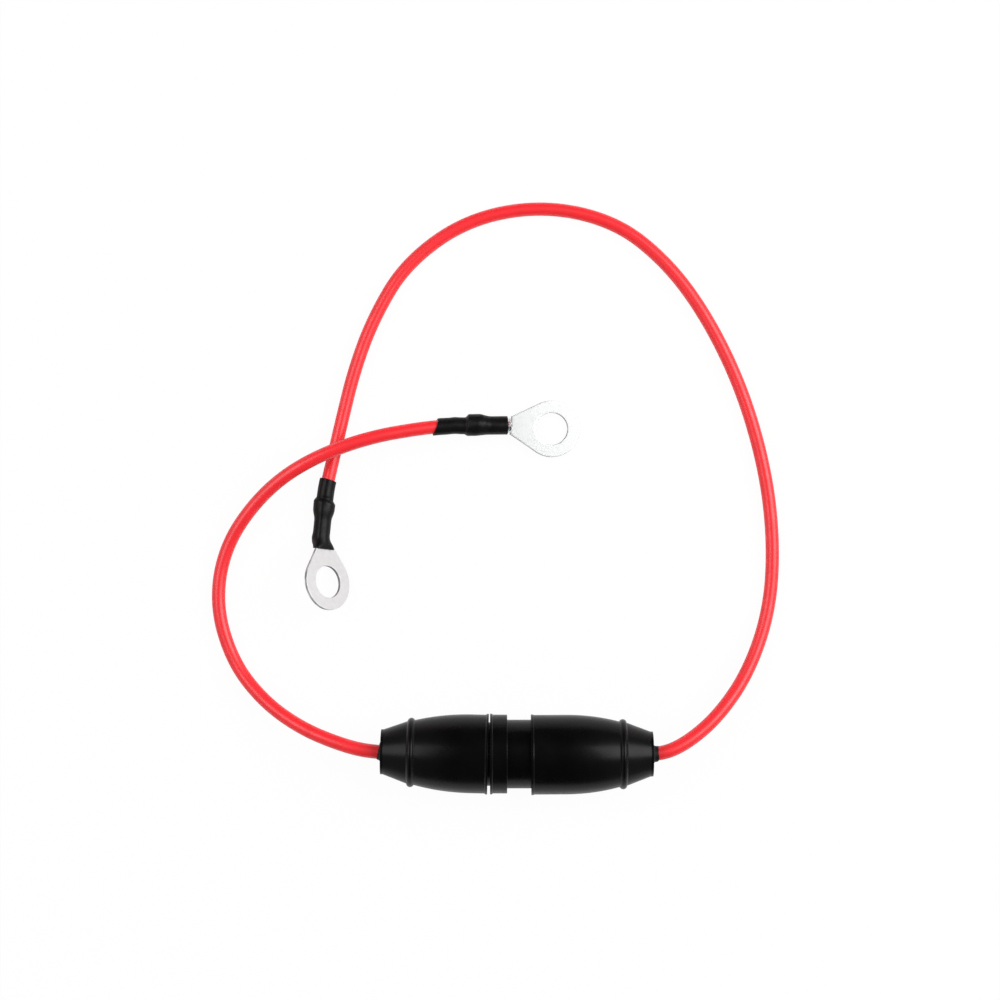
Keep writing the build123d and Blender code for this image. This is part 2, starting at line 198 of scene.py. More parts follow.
class StudioSettings(bpy.types.PropertyGroup):
    """Camera, lamps and floor."""

    camera_height: length("Camera height", "Height of the camera over the floor", 672.6 * MM)
    camera_x: FloatProperty(name="Camera X", description="Point under the camera",
                            default=-4.02 * MM, unit="LENGTH", precision=5)
    camera_y: FloatProperty(name="Camera Y", description="Point under the camera",
                            default=60.7 * MM, unit="LENGTH", precision=5)
    focal_length: FloatProperty(name="Focal length", description="Lens in millimetres",
                                default=100.0, min=10, unit="CAMERA")
    lamp_power: FloatProperty(name="Lamp power", description="Power of the right soft box",
                              default=6.4, min=0, unit="POWER")
    sky_strength: FloatProperty(name="Fill", description="Strength of the fill light",
                                default=0.3, min=0)
    floor: colour("Floor", "Matt white table", "#fafafa")


def settings(group):
    """The scene's settings of that name."""
    return getattr(bpy.context.scene, group)


# Mesh helpers

def grid_faces(rows, columns, wrap_rows=True, wrap_columns=True):
    """Quads between neighbours of a grid. A wrapped direction joins its last line to its first."""
    row = np.arange(rows if wrap_rows else rows - 1)[:, None]
    column = np.arange(columns if wrap_columns else columns - 1)[None, :]
    next_row = (row + 1) % rows
    next_column = (column + 1) % columns
    corners = np.broadcast_arrays(
        row * columns + column, next_row * columns + column,
        next_row * columns + next_column, row * columns + next_column,
    )
    return np.stack(corners, axis=-1).reshape(-1, 4)


def closed_surface(grid, wrap_rows=True, wrap_columns=True):
    """Points and outward quads of a grid whose surface is closed.

    The enclosed volume is a sixth of the sum, over the quads, of the mean of the corners times
    the cross product of the diagonals; where it comes out negative, the quads are turned round.
    """
    points = grid.reshape(-1, 3)
    faces = grid_faces(grid.shape[0], grid.shape[1], wrap_rows, wrap_columns)
    first, second, third, fourth = (points[faces[:, corner]] for corner in range(4))
    middle = first + second + third + fourth - 4 * points.mean(axis=0)
    volume = np.sum(middle * np.cross(third - first, fourth - second))
    return points, faces if volume > 0 else faces[:, ::-1]


def make_piece(name, surfaces, material, body, slot, nodes=(), attribute=None, sharp=None):
    """A mesh object of closed surfaces that rides on a body and replaces CAD nodes.

    Poles come in as rows of one repeated point, so doubles are merged. attribute is a pair of
    a name and one value for each point. sharp is the angle past which an edge stays crisp.
    """
    counts = np.cumsum([0] + [len(points) for points, _ in surfaces])
    points = np.vstack([points for points, _ in surfaces])
    faces = np.vstack([faces + start for (_, faces), start in zip(surfaces, counts)])
    mesh = bpy.data.meshes.new(name)
    mesh.from_pydata(points.tolist(), [], faces.tolist())
    if attribute:
        layer = mesh.attributes.new(attribute[0], "FLOAT", "POINT")
        layer.data.foreach_set("value", np.asarray(attribute[1], dtype=np.float32).ravel())
    editable = bmesh.new()
    editable.from_mesh(mesh)
    bmesh.ops.remove_doubles(editable, verts=editable.verts, dist=1e-7)
    bmesh.ops.dissolve_degenerate(editable, edges=editable.edges, dist=1e-8)
    editable.to_mesh(mesh)
    editable.free()
    mesh.polygons.foreach_set("use_smooth", [True] * len(mesh.polygons))
    if sharp:
        mesh.set_sharp_from_angle(angle=sharp)
    mesh.materials.append(material)
    piece = bpy.data.objects.new(name, mesh)
    bpy.context.scene.collection.objects.link(piece)
    return place(piece, body, slot, nodes)


def place(piece, body, slot, nodes=()):
    """Say what a piece rides on and replaces: hang it on its body and hide those nodes. slot is not
    used.
    """
    if nodes:
        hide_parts(*nodes)
    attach(piece, body)
    return piece


def divided(outline, step):
    """A closed outline with each run cut into equal parts no longer than step."""
    runs = np.roll(outline, -1, axis=0) - outline
    parts = np.maximum(np.ceil(np.linalg.norm(runs, axis=1) / step), 1).astype(int)
    start = np.repeat(outline, parts, axis=0)
    order = np.arange(parts.sum()) - np.repeat(np.cumsum(parts) - parts, parts)
    return start + np.repeat(runs, parts, axis=0) * (order / np.repeat(parts, parts))[:, None]


def rounded(corners, step):
    """A closed outline from rows of x, radius from the axis and corner rounding.

    A corner is cut back along both runs by its rounding times the tangent of half its turn, and
    the cut is bridged by the circular arc that a conic of weight cos(half turn) draws.
    """
    corners = np.asarray(corners, dtype=float)
    places, rounding = corners[:, :2], corners[:, 2]
    arriving = places - np.roll(places, 1, axis=0)
    leaving = np.roll(places, -1, axis=0) - places
    arriving_length = np.linalg.norm(arriving, axis=1)
    leaving_length = np.linalg.norm(leaving, axis=1)
    arriving /= arriving_length[:, None]
    leaving /= leaving_length[:, None]
    half_turn = np.arccos(np.clip(np.sum(arriving * leaving, axis=1), -1, 1)) / 2
    shortest = np.minimum(arriving_length, leaving_length)
    cut = np.minimum(rounding * np.tan(half_turn), 0.45 * shortest)
    share = np.linspace(0, 1, 7)[None, :, None]
    weight = np.cos(half_turn)[:, None, None]
    begin = (places - arriving * cut[:, None])[:, None, :]
    finish = (places + leaving * cut[:, None])[:, None, :]
    blend = 2 * weight * share * (1 - share)
    arcs = (1 - share) ** 2 * begin + blend * places[:, None, :] + share**2 * finish
    arcs = (arcs / ((1 - share) ** 2 + blend + share**2)).reshape(-1, 2)
    apart = np.linalg.norm(arcs - np.roll(arcs, 1, axis=0), axis=1) > 1e-7
    return divided(arcs[apart], step)


def edge_nearness(outline, reach):
    """How near each point of a closed outline is to a convex (positive) or hollow edge.

    Each point's turn is spread along the outline by a Gaussian of that reach, and the sign of
    the outline's area says which turns are convex.
    """
    arriving = outline - np.roll(outline, 1, axis=0)
    leaving = np.roll(outline, -1, axis=0) - outline
    turn = np.arctan2(
        arriving[:, 0] * leaving[:, 1] - arriving[:, 1] * leaving[:, 0],
        np.sum(arriving * leaving, axis=1),
    )
    walked = np.cumsum(np.linalg.norm(arriving, axis=1))
    apart = np.abs(walked[:, None] - walked[None, :])
    apart = np.minimum(apart, walked[-1] - apart)
    spread = np.exp(-((apart / reach) ** 2)) @ turn
    return np.clip(spread * np.sign(turn.sum()), -1, 1)


def lathe(outline, steps):
    """A closed outline of x and radius, turned about the holder's axis: y is the radius times
    the cosine and z the radius times the sine, over the height of the axis."""
    angle = np.arange(steps) / steps * FULL_TURN
    grid = np.empty((len(outline), steps, 3))
    grid[..., 0] = outline[:, :1]
    grid[..., 1] = outline[:, 1:] * np.cos(angle)
    grid[..., 2] = AXIS_HEIGHT + outline[:, 1:] * np.sin(angle)
    return grid


def cocked(points, cock):
    """Points turned in plan by the cock's angle about its pivot on the holder's axis, and
    stepped aside."""
    angle, pivot, aside = cock
    turned = points.copy()
    away = points[..., 0] - pivot
    turned[..., 0] = pivot + away * math.cos(angle) - points[..., 1] * math.sin(angle)
    turned[..., 1] = points[..., 1] * math.cos(angle) + away * math.sin(angle) + aside
    return turned


def ripple(angle, harmonics, size, seed):
    """A seeded closed wave over the angle: the sum of cosines of the harmonics, each with a
    random phase and a height that falls with its order."""
    phases = np.random.default_rng(seed).uniform(0, FULL_TURN, len(harmonics))
    waves = [np.cos(order * angle + phase) / order for order, phase in zip(harmonics, phases)]
    return size * sum(waves)


def smooth_step(value, low, high):
    """0 up to low, 1 from high on, and the cubic 3t² - 2t³ between them."""
    share = np.clip((value - low) / (high - low), 0, 1)
    return share * share * (3 - 2 * share)


def hill(value, middle, width):
    """A Gaussian of height 1."""
    return np.exp(-(((value - middle) / width) ** 2))


# Material helpers

def add_node(tree, kind, inputs=(), **values):
    """Add a node, set its properties, then set or link its inputs, which come in order, or by
    name or number. A node given as an input stands for its first output that is in use."""
    node = tree.nodes.new(kind)
    for name, value in values.items():
        setattr(node, name, value)
    for name, value in inputs.items() if isinstance(inputs, dict) else enumerate(inputs):
        if isinstance(value, bpy.types.Node):
            value = next(socket for socket in value.outputs if socket.enabled)
        if isinstance(value, bpy.types.NodeSocket):
            tree.links.new(value, node.inputs[name])
        else:
            node.inputs[name].default_value = value
    return node


def new_material(name):
    """A material and its empty node tree."""
    material = bpy.data.materials.new(name)
    material.use_nodes = True
    material.node_tree.nodes.clear()
    return material, material.node_tree


def shade(colour, level):
    """A linear colour times a level, or a level for each channel, and opaque."""
    return (*(np.multiply(tuple(colour)[:3], level)).tolist(), 1.0)


def speckles(tree, place, spacing, size, share):
    """1 in small round specks: in a share of the cells of that spacing, where the distance to
    the cell's point is under the size."""
    reach = size / spacing
    cells = add_node(tree, "ShaderNodeTexVoronoi", {"Vector": place, "Scale": 1 / spacing})
    near = add_node(tree, "ShaderNodeMapRange", (cells, 0.6 * reach, reach, 1.0, 0.0))
    chance = add_node(tree, "ShaderNodeSeparateColor", {"Color": cells.outputs["Color"]})
    chosen = add_node(tree, "ShaderNodeMapRange", (chance, share, 0.9 * share, 0.0, 1.0))
    return add_node(tree, "ShaderNodeMath", (near, chosen), operation="MULTIPLY")


# Materials. A pixel of the render is about 0.24 mm, so a grain finer than that is drawn coarser
# than it is, and each docstring says so.

def moulded_nylon():
    """Black nylon, injection moulded in a spark-eroded tool: a satin surface with a fine grain,
    a soft gleam on the tapers, rubbed edges and a few specks of lint. The tool's grain is about
    0.05 mm and is drawn at 0.22 mm."""
    look = settings("wire_lead_holder")
    material, tree = new_material("moulded_black_nylon")
    place = add_node(tree, "ShaderNodeTexCoord").outputs["Object"]
    edge = add_node(tree, "ShaderNodeAttribute", attribute_name="edge").outputs["Fac"]
    cloud = add_node(tree, "ShaderNodeTexNoise", {
        "Vector": place, "Scale": 1 / (6 * MM), "Detail": 3.0,
    })
    grain = add_node(tree, "ShaderNodeTexNoise", {
        "Vector": place, "Scale": 1 / (0.22 * MM), "Detail": 2.0,
    })
    faded = add_node(tree, "ShaderNodeMapRange", (cloud, 0.4, 0.7, 0.0, 0.3))
    base = add_node(tree, "ShaderNodeMix", {
        0: faded, 6: tuple(look.plastic), 7: shade(look.plastic, 2.0),
    }, data_type="RGBA")
    on_edges = add_node(tree, "ShaderNodeMapRange", (edge, 0.25, 0.9, 0.0, 0.1))
    patchy = add_node(tree, "ShaderNodeMapRange", (grain, 0.3, 0.7, 0.2, 1.0))
    rubbed = add_node(tree, "ShaderNodeMath", (on_edges, patchy), operation="MULTIPLY")
    base = add_node(tree, "ShaderNodeMix", {
        0: rubbed, 6: base, 7: linear("#1a1a1c"),
    }, data_type="RGBA")
    lint = speckles(tree, place, 2.3 * MM, 0.11 * MM, 0.3)
    lint = add_node(tree, "ShaderNodeMath", (lint, 0.8), operation="MULTIPLY")
    in_hollows = add_node(tree, "ShaderNodeMapRange", (edge, -0.9, -0.5, 0.06, 0.0))
    patchy = add_node(tree, "ShaderNodeMapRange", (grain, 0.45, 0.6, 0.2, 1.0))
    settled = add_node(tree, "ShaderNodeMath", (in_hollows, patchy), operation="MULTIPLY")
    dusty = add_node(tree, "ShaderNodeMath", (lint, settled), operation="MAXIMUM")
    base = add_node(tree, "ShaderNodeMix", {
        0: dusty, 6: base, 7: tuple(look.dust),
    }, data_type="RGBA")
    shader = add_node(tree, "ShaderNodeBsdfPrincipled", {
        "Base Color": base,
        "Roughness": add_node(tree, "ShaderNodeMapRange", (cloud, 0.3, 0.7, 0.24, 0.31)),
        "IOR": 1.5,
        "Specular IOR Level": 0.15,
        "Normal": add_node(tree, "ShaderNodeBump", {
            "Height": grain, "Strength": 0.35, "Distance": 0.012 * MM,
        }),
    })
    add_node(tree, "ShaderNodeOutputMaterial", {"Surface": shader})
    return material


def cut_rubber():
    """Black rubber tube, extruded and cut by hand: dull, with a torn grain of 0.3 mm."""
    look = settings("wire_lead_holder")
    material, tree = new_material("cut_black_rubber")
    place = add_node(tree, "ShaderNodeTexCoord").outputs["Object"]
    grain = add_node(tree, "ShaderNodeTexNoise", {
        "Vector": place, "Scale": 1 / (0.3 * MM), "Detail": 4.0,
    })
    shader = add_node(tree, "ShaderNodeBsdfPrincipled", {
        "Base Color": add_node(tree, "ShaderNodeMix", {
            0: grain, 6: shade(look.rubber, 0.5), 7: tuple(look.rubber),
        }, data_type="RGBA"),
        "Roughness": 0.6,
        "IOR": 1.52,
        "Specular IOR Level": 0.3,
        "Normal": add_node(tree, "ShaderNodeBump", {
            "Height": grain, "Strength": 0.6, "Distance": 0.04 * MM,
        }),
    })
    add_node(tree, "ShaderNodeOutputMaterial", {"Surface": shader})
    return material


def extruded_pvc():
    """Red PVC, extruded over the wire: even colour with slow clouds, a satin gloss that shows
    the lamps as soft bands, and a speck of lint here and there. The die's ripple is about
    0.2 mm and is drawn at 0.5 mm."""
    look = settings("wire_lead_leads")
    material, tree = new_material("extruded_red_pvc")
    place = add_node(tree, "ShaderNodeTexCoord").outputs["Object"]
    cloud = add_node(tree, "ShaderNodeTexNoise", {
        "Vector": place, "Scale": 1 / (3 * MM), "Detail": 3.0,
    })
    fine = add_node(tree, "ShaderNodeTexNoise", {
        "Vector": place, "Scale": 1 / (0.5 * MM), "Detail": 2.0,
    })
    base = add_node(tree, "ShaderNodeMix", {
        0: add_node(tree, "ShaderNodeMapRange", (cloud, 0.35, 0.65, 0.0, 0.6)),
        6: tuple(look.insulation),
        7: shade(look.insulation, (0.86, 0.6, 0.6)),
    }, data_type="RGBA")
    lint = speckles(tree, place, 3.5 * MM, 0.1 * MM, 0.3)
    base = add_node(tree, "ShaderNodeMix", {
        0: add_node(tree, "ShaderNodeMath", (lint, 0.5), operation="MULTIPLY"),
        6: base,
        7: linear("#ff9c96"),
    }, data_type="RGBA")
    shader = add_node(tree, "ShaderNodeBsdfPrincipled", {
        "Base Color": base,
        "Roughness": add_node(tree, "ShaderNodeMapRange", (cloud, 0.3, 0.7, 0.33, 0.41)),
        "IOR": 1.53,
        "Specular IOR Level": 0.6,
        "Normal": add_node(tree, "ShaderNodeBump", {
            "Height": fine, "Strength": 0.25, "Distance": 0.02 * MM,
        }),
    })
    add_node(tree, "ShaderNodeOutputMaterial", {"Surface": shader})
    return material


def shrunk_polyolefin():
    """Black polyolefin tube, shrunk with hot air: a soft grey sheen, faint lines along its
    length and small pits where it cooled. The pits are about 0.1 mm and are drawn at 0.25 mm."""
    look = settings("wire_lead_shrink")
    material, tree = new_material("shrunk_black_polyolefin")
    place = add_node(tree, "ShaderNodeTexCoord").outputs["Object"]
    around = add_node(tree, "ShaderNodeAttribute", attribute_name="round").outputs["Fac"]
    streak = add_node(tree, "ShaderNodeTexNoise", {
        "W": around, "Scale": 9.0, "Detail": 3.0,
    }, noise_dimensions="1D")
    cloud = add_node(tree, "ShaderNodeTexNoise", {
        "Vector": place, "Scale": 1 / (1.6 * MM), "Detail": 3.0,
    })
    grain = add_node(tree, "ShaderNodeTexNoise", {
        "Vector": place, "Scale": 1 / (0.25 * MM), "Detail": 2.0,
    })
    relief = add_node(tree, "ShaderNodeMath", (streak, grain), operation="ADD")
    shader = add_node(tree, "ShaderNodeBsdfPrincipled", {
        "Base Color": add_node(tree, "ShaderNodeMix", {
            0: add_node(tree, "ShaderNodeMapRange", (streak, 0.4, 0.65, 0.0, 0.6)),
            6: tuple(look.sleeve),
            7: shade(look.sleeve, 1.9),
        }, data_type="RGBA"),
        "Roughness": add_node(tree, "ShaderNodeMapRange", (cloud, 0.3, 0.7, 0.3, 0.44)),
        "IOR": 1.5,
        "Specular IOR Level": 0.16,
        "Normal": add_node(tree, "ShaderNodeBump", {
            "Height": relief, "Strength": 0.3, "Distance": 0.03 * MM,
        }),
    })
    add_node(tree, "ShaderNodeOutputMaterial", {"Surface": shader})
    return material


def plated_metal(name, code, dull, roughness, mottle):
    """A plated or bare metal: its colour with slow dull clouds, a roughness that varies with a
    mottle of the given size, and a darker torn face where the sheet was cut through. On a ring,
    that darker tone also runs onto the rounded upper edge as a painted shade line round the
    outline. A plating's crystals are under 0.05 mm and are drawn at 0.12 mm."""
    material, tree = new_material(name)
    place = add_node(tree, "ShaderNodeTexCoord").outputs["Object"]
    sheared_edge_and_shade = add_node(tree, "ShaderNodeAttribute", attribute_name="cut").outputs["Fac"]
    cloud = add_node(tree, "ShaderNodeTexNoise", {
        "Vector": place, "Scale": 1 / mottle, "Detail": 4.0,
    })
    grain = add_node(tree, "ShaderNodeTexNoise", {
        "Vector": place, "Scale": 1 / (0.12 * MM), "Detail": 2.0,
    })
    broad = add_node(tree, "ShaderNodeTexNoise", {
        "Vector": place, "Scale": 1 / (5 * MM), "Detail": 2.0,
    })
    base = add_node(tree, "ShaderNodeMix", {
        0: add_node(tree, "ShaderNodeMapRange", (cloud, 0.35, 0.7, 0.0, 0.7)), 6: code, 7: dull,
    }, data_type="RGBA")
    edge_darkening = add_node(tree, "ShaderNodeMapRange", (broad, 0.42, 0.56, 0.3, 0.95))
    # Darken the torn face. Where the cut mark reaches a ring's rounded upper edge, this darkening
    # is a painted shade line, not a real cut face
    base = add_node(tree, "ShaderNodeMix", {
        0: add_node(tree, "ShaderNodeMath", (sheared_edge_and_shade, edge_darkening), operation="MULTIPLY"),
        6: base,
        7: shade(dull, 0.3),
    }, data_type="RGBA")
    mottled = add_node(
        tree, "ShaderNodeMapRange", (cloud, 0.3, 0.7, 0.96 * roughness, 1.04 * roughness)
    )
    torn = add_node(tree, "ShaderNodeMath", (sheared_edge_and_shade, 0.6), operation="MULTIPLY")
    shader = add_node(tree, "ShaderNodeBsdfPrincipled", {
        "Base Color": base,
        "Metallic": add_node(tree, "ShaderNodeMapRange", (sheared_edge_and_shade, 0.0, 1.0, 0.9, 0.3)),
        "Roughness": add_node(tree, "ShaderNodeMath", (mottled, torn), operation="MAXIMUM"),
        "Normal": add_node(tree, "ShaderNodeBump", {
            "Height": grain, "Strength": 0.05, "Distance": 0.01 * MM,
        }),
    })
    add_node(tree, "ShaderNodeOutputMaterial", {"Surface": shader})
    return material


def drawn_glass():
    """Clear soda-lime glass, drawn as tube: sharp reflections and a faint green in its body."""
    material, tree = new_material("drawn_soda_glass")
    place = add_node(tree, "ShaderNodeTexCoord").outputs["Object"]
    cord = add_node(tree, "ShaderNodeTexNoise", {
        "Vector": place, "Scale": 1 / (1.5 * MM), "Detail": 1.0,
    })
    shader = add_node(tree, "ShaderNodeBsdfPrincipled", {
        "Base Color": linear("#f4fbf7"),
        "Roughness": 0.02,
        "IOR": 1.52,
        "Transmission Weight": 1.0,
        "Normal": add_node(tree, "ShaderNodeBump", {
            "Height": cord, "Strength": 0.05, "Distance": 0.05 * MM,
        }),
    })
    add_node(tree, "ShaderNodeOutputMaterial", {"Surface": shader})
    return material


# Shapes of the holder

def skin_radius(x, rim, straight, barrel):
    """Outer radius of a shell with its nose to +X, at each x behind the lip.

    A straight barrel, then a circular crown down to the bead's foot, then the cone. The bead is
    a circle in section, joined to both by a smooth maximum, which leaves a small hollow fillet.
    """
    holder = settings("wire_lead_holder")
    bead_middle = HALF_LENGTH - holder.bead_distance
    bead_right = bead_middle + holder.bead_radius
    taper_end = barrel - holder.crown_drop
    cone_base = taper_end - holder.bead_step
    arc_start = rim + straight
    run = bead_middle - 1.5 * holder.bead_radius - arc_start
    arc_radius = (run**2 + holder.crown_drop**2) / (2 * holder.crown_drop)
    away = np.clip(x - arc_start, 0, None)
    crown = barrel - arc_radius + np.sqrt(arc_radius**2 - away**2)
    slope = (cone_base - holder.nose_radius) / (HALF_LENGTH - NOSE_STRAIGHT - bead_right)
    cone = cone_base - (x - bead_right) * slope
    body = np.where(x < bead_middle, crown, cone)
    lift = np.sqrt(np.clip(holder.bead_radius**2 - (x - bead_middle) ** 2, 0, None))
    softness = 0.1 * MM
    bead = taper_end + holder.bead_height - holder.bead_radius + lift
    bead = np.where(lift > 0, bead, body - softness)
    share = np.clip(0.5 + (bead - body) / (2 * softness), 0, 1)
    return body + (bead - body) * share + softness * share * (1 - share)


def shell_outline(rim, spigot_end, straight, swell):
    """The closed section of a shell with its nose to +X: lip, skin, nose, exit hole, pocket
    and bore. swell is what its barrel has over the collar's."""
    holder = settings("wire_lead_holder")
    barrel = LIP_RADIUS - holder.lip_height + swell
    bore = barrel - holder.shell_wall
    nose_start = HALF_LENGTH - NOSE_STRAIGHT
    lip_end = rim + holder.lip_length
    bore_end = spigot_end + 0.6 * MM
    pocket = 4.6 * MM
    pocket_end = HALF_LENGTH - 5.0 * MM
    edge = holder.edge_round
    x = np.linspace(rim + straight, nose_start, 190)
    skin = np.column_stack((x, skin_radius(x, rim, straight, barrel), np.zeros_like(x)))
    return rounded(np.vstack((
        (rim, bore, edge),
        (rim, LIP_RADIUS, 0.6 * edge),
        (lip_end, LIP_RADIUS, 0.6 * edge),
        (lip_end + 0.2 * MM, barrel, edge),
        skin,
        (HALF_LENGTH, holder.nose_radius, 1.6 * edge),
        (HALF_LENGTH, holder.exit_radius, 0.8 * edge),
        (pocket_end, holder.exit_radius, edge),
        (pocket_end, pocket, edge),
        (bore_end + 2 * MM, pocket, edge),
        (bore_end, bore, edge),
    )), 0.35 * MM)


def shell_piece(name, rim, spigot_end, straight, swell, material, left):
    """One shell. The left one is the mirror image of the section, and each has its own cock."""
    outline = shell_outline(rim, spigot_end, straight, swell)
    wear = np.repeat(edge_nearness(outline, 0.15 * MM)[:, None], ROUND_STEPS, axis=1)
    grid = lathe(outline, ROUND_STEPS)
    if left:
        grid[..., 0] *= -1
    grid = cocked(grid, LEFT_COCK if left else RIGHT_COCK)
    body = "left_half" if left else "root"
    node = "left_shell" if left else "right_shell"
    make_piece(name, [closed_surface(grid)], material, body, "black_housing", [node],
               attribute=("edge", wear))


def sleeve_outline():
    """The closed section of the centre sleeve's skin: spigots, lipped collar and neck."""
    holder = settings("wire_lead_holder")
    barrel = LIP_RADIUS - holder.lip_height
    spigot = barrel - holder.shell_wall - holder.push_fit
    tip = spigot - holder.spigot_draft
    neck = spigot + holder.neck_step
    bore = tip - holder.sleeve_wall
    collar_right = COLLAR_LEFT + holder.collar_length
    lip_end = COLLAR_LEFT + holder.lip_length
    edge = holder.edge_round
    return rounded((
        (SPIGOT_LEFT, bore, edge),
        (SPIGOT_LEFT, tip, 2 * edge),
        (COLLAR_LEFT, spigot, edge),
        (COLLAR_LEFT, LIP_RADIUS, 0.6 * edge),
        (lip_end, LIP_RADIUS, 0.6 * edge),
        (lip_end + 0.2 * MM, barrel, edge),
        (collar_right, barrel, 1.6 * edge),
        (collar_right, neck, 1.5 * edge),
        (RIGHT_RIM, neck, edge),
        (RIGHT_RIM, spigot, edge),
        (SPIGOT_RIGHT, tip, 2 * edge),
        (SPIGOT_RIGHT, bore, edge),
    ), 0.35 * MM)


def tube_outline(start, end, inner, outer, rounding):
    """The closed section of a plain tube about the holder's axis."""
    return rounded((
        (start, inner, rounding), (start, outer, rounding),
        (end, outer, rounding), (end, inner, rounding),
    ), 0.5 * MM)


def web_surface(turn, start, end, inner, outer, thickness):
    """A flat web along the axis: a rounded oblong in section, carried from start to end and
    closed by a pole at each end."""
    angle = np.arange(32) / 32 * FULL_TURN
    across = np.sign(np.cos(angle)) * np.abs(np.cos(angle)) ** 0.25
    up = np.sign(np.sin(angle)) * np.abs(np.sin(angle)) ** 0.25
    radius = (inner + outer) / 2 + across * (outer - inner) / 2
    side = up * thickness / 2
    x = np.array((start, start, start, end, end, end))
    size = np.array((0, 0.96, 1, 1, 0.96, 0))[:, None]
    middle = (inner + outer) / 2
    radius = middle + (radius - middle) * size
    side = side * size
    grid = np.empty((6, 32, 3))
    grid[..., 0] = x[:, None]
    grid[..., 1] = radius * math.cos(turn) - side * math.sin(turn)
    grid[..., 2] = AXIS_HEIGHT + radius * math.sin(turn) + side * math.cos(turn)
    return closed_surface(grid, wrap_rows=False)


class WIRELEAD_OT_shells(bpy.types.Operator):
    """Mould the two shells of the holder"""

    bl_idname = "wire_lead.shells"
    bl_label = "Shells"

    def execute(self, context):
        plastic = moulded_nylon()
        left_rim = settings("wire_lead_holder").left_slit - COLLAR_LEFT
        shell_piece("left_shell_moulding", left_rim, -SPIGOT_LEFT,
                    straight=4.1 * MM, swell=0, material=plastic, left=True)
        shell_piece("right_shell_moulding", RIGHT_RIM, SPIGOT_RIGHT,
                    straight=8.3 * MM, swell=0.09 * MM, material=plastic, left=False)
        return {"FINISHED"}


class WIRELEAD_OT_centre_sleeve(bpy.types.Operator):
    """Mould the centre sleeve with its guide tube for the fuse"""

    bl_idname = "wire_lead.centre_sleeve"
    bl_label = "Centre sleeve"

    def execute(self, context):
        plastic = bpy.data.materials["moulded_black_nylon"]
        outline = sleeve_outline()
        inner, outer = 3.395 * MM, 4.395 * MM
        start, end = -15.5 * MM, 15.4 * MM
        disc_end = COLLAR_LEFT + 1.5 * MM
        bore = outline[:, 1].min()
        guide = tube_outline(start, end, inner, outer, 0.2 * MM)
        disc = tube_outline(COLLAR_LEFT, disc_end, inner, bore + 0.2 * MM, 0.1 * MM)
        surfaces = [closed_surface(cocked(lathe(outline, ROUND_STEPS), SLEEVE_COCK))]
        surfaces += [closed_surface(lathe(section, 96)) for section in (guide, disc)]
        turns = np.arange(4) * FULL_TURN / 4
        surfaces += [
            web_surface(turn, start, end, outer - 0.2 * MM, bore + 0.2 * MM, 1.0 * MM)
            for turn in turns
        ]
        wear = np.zeros(sum(len(points) for points, _ in surfaces))
        skin_wear = np.repeat(edge_nearness(outline, 0.15 * MM), ROUND_STEPS)
        wear[:len(skin_wear)] = skin_wear
        make_piece("centre_sleeve_moulding", surfaces, plastic, "root", "black_housing",
                   ["centre_sleeve"], attribute=("edge", wear), sharp=math.radians(50))
        return {"FINISHED"}


def wire_sleeve_grid(outside, foot, slant, rag, seed):
    """A tube on the wire, from inside the exit hole to a ragged hand-cut end with its nose to
    +X. The end's x grows with the sine of the angle by the slant, and with a seeded ripple; a
    hollow fillet joins it to the end of the shell."""
    lead = settings("wire_lead_leads")
    radius = EXIT_SWELL * lead.diameter / 2
    wall = 0.2 * MM
    end = HALF_LENGTH + outside
    outline = rounded((
        (HALF_LENGTH - 4 * MM, radius, 0),
        (HALF_LENGTH - 4 * MM, radius + wall, 0.05 * MM),
        (HALF_LENGTH - 0.02 * MM, radius + wall, 0),
        (HALF_LENGTH - 0.02 * MM, radius + wall + foot, 0.1 * MM),
        (HALF_LENGTH + 0.12 * MM, radius + wall + 0.9 * foot, 0.2 * MM),
        (HALF_LENGTH + 0.45 * MM, radius + wall + 0.05 * MM, 0.4 * MM),
        (end, radius + wall - 0.03 * MM, 0.12 * MM),
        (end, radius, 0.05 * MM),
    ), 0.12 * MM)
    grid = lathe(outline, 128)
    angle = np.arange(128) / 128 * FULL_TURN
    free = smooth_step(outline[:, 0], HALF_LENGTH + 0.2 * MM, end)[:, None]
    push = slant * np.cos(angle) + ripple(angle, (2, 3, 5, 8, 13), rag, seed)
    grid[..., 0] += free * push
    swell = free * ripple(angle, (3, 4, 7), 0.25 * rag, seed + 1)
    outer = (outline[:, 1] > radius + 0.5 * wall)[:, None]
    grid[..., 1] += outer * swell * np.cos(angle)
    grid[..., 2] += outer * swell * np.sin(angle)
    return grid


class WIRELEAD_OT_wire_sleeves(bpy.types.Operator):
    """Cut the short tubes at the two wire exits"""

    bl_idname = "wire_lead.wire_sleeves"
    bl_label = "Wire sleeves"

    def execute(self, context):
        rubber = cut_rubber()
        left = wire_sleeve_grid(
            outside=0.62 * MM, foot=0.45 * MM, slant=-0.28 * MM, rag=0.08 * MM, seed=3
        )
        left[..., 0] *= -1
        right = wire_sleeve_grid(
            outside=1.3 * MM, foot=0.42 * MM, slant=0.14 * MM, rag=0.2 * MM, seed=8
        )
        for side, grid, cock, body in (
            ("left", left, LEFT_COCK, "left_half"), ("right", right, RIGHT_COCK, "root"),
        ):
            make_piece(f"{side}_wire_sleeve_tube", [closed_surface(cocked(grid, cock))], rubber,
                       body, "black_sleeve", [f"wire_sleeve_{side}"])
        return {"FINISHED"}


# Wires and what is on them

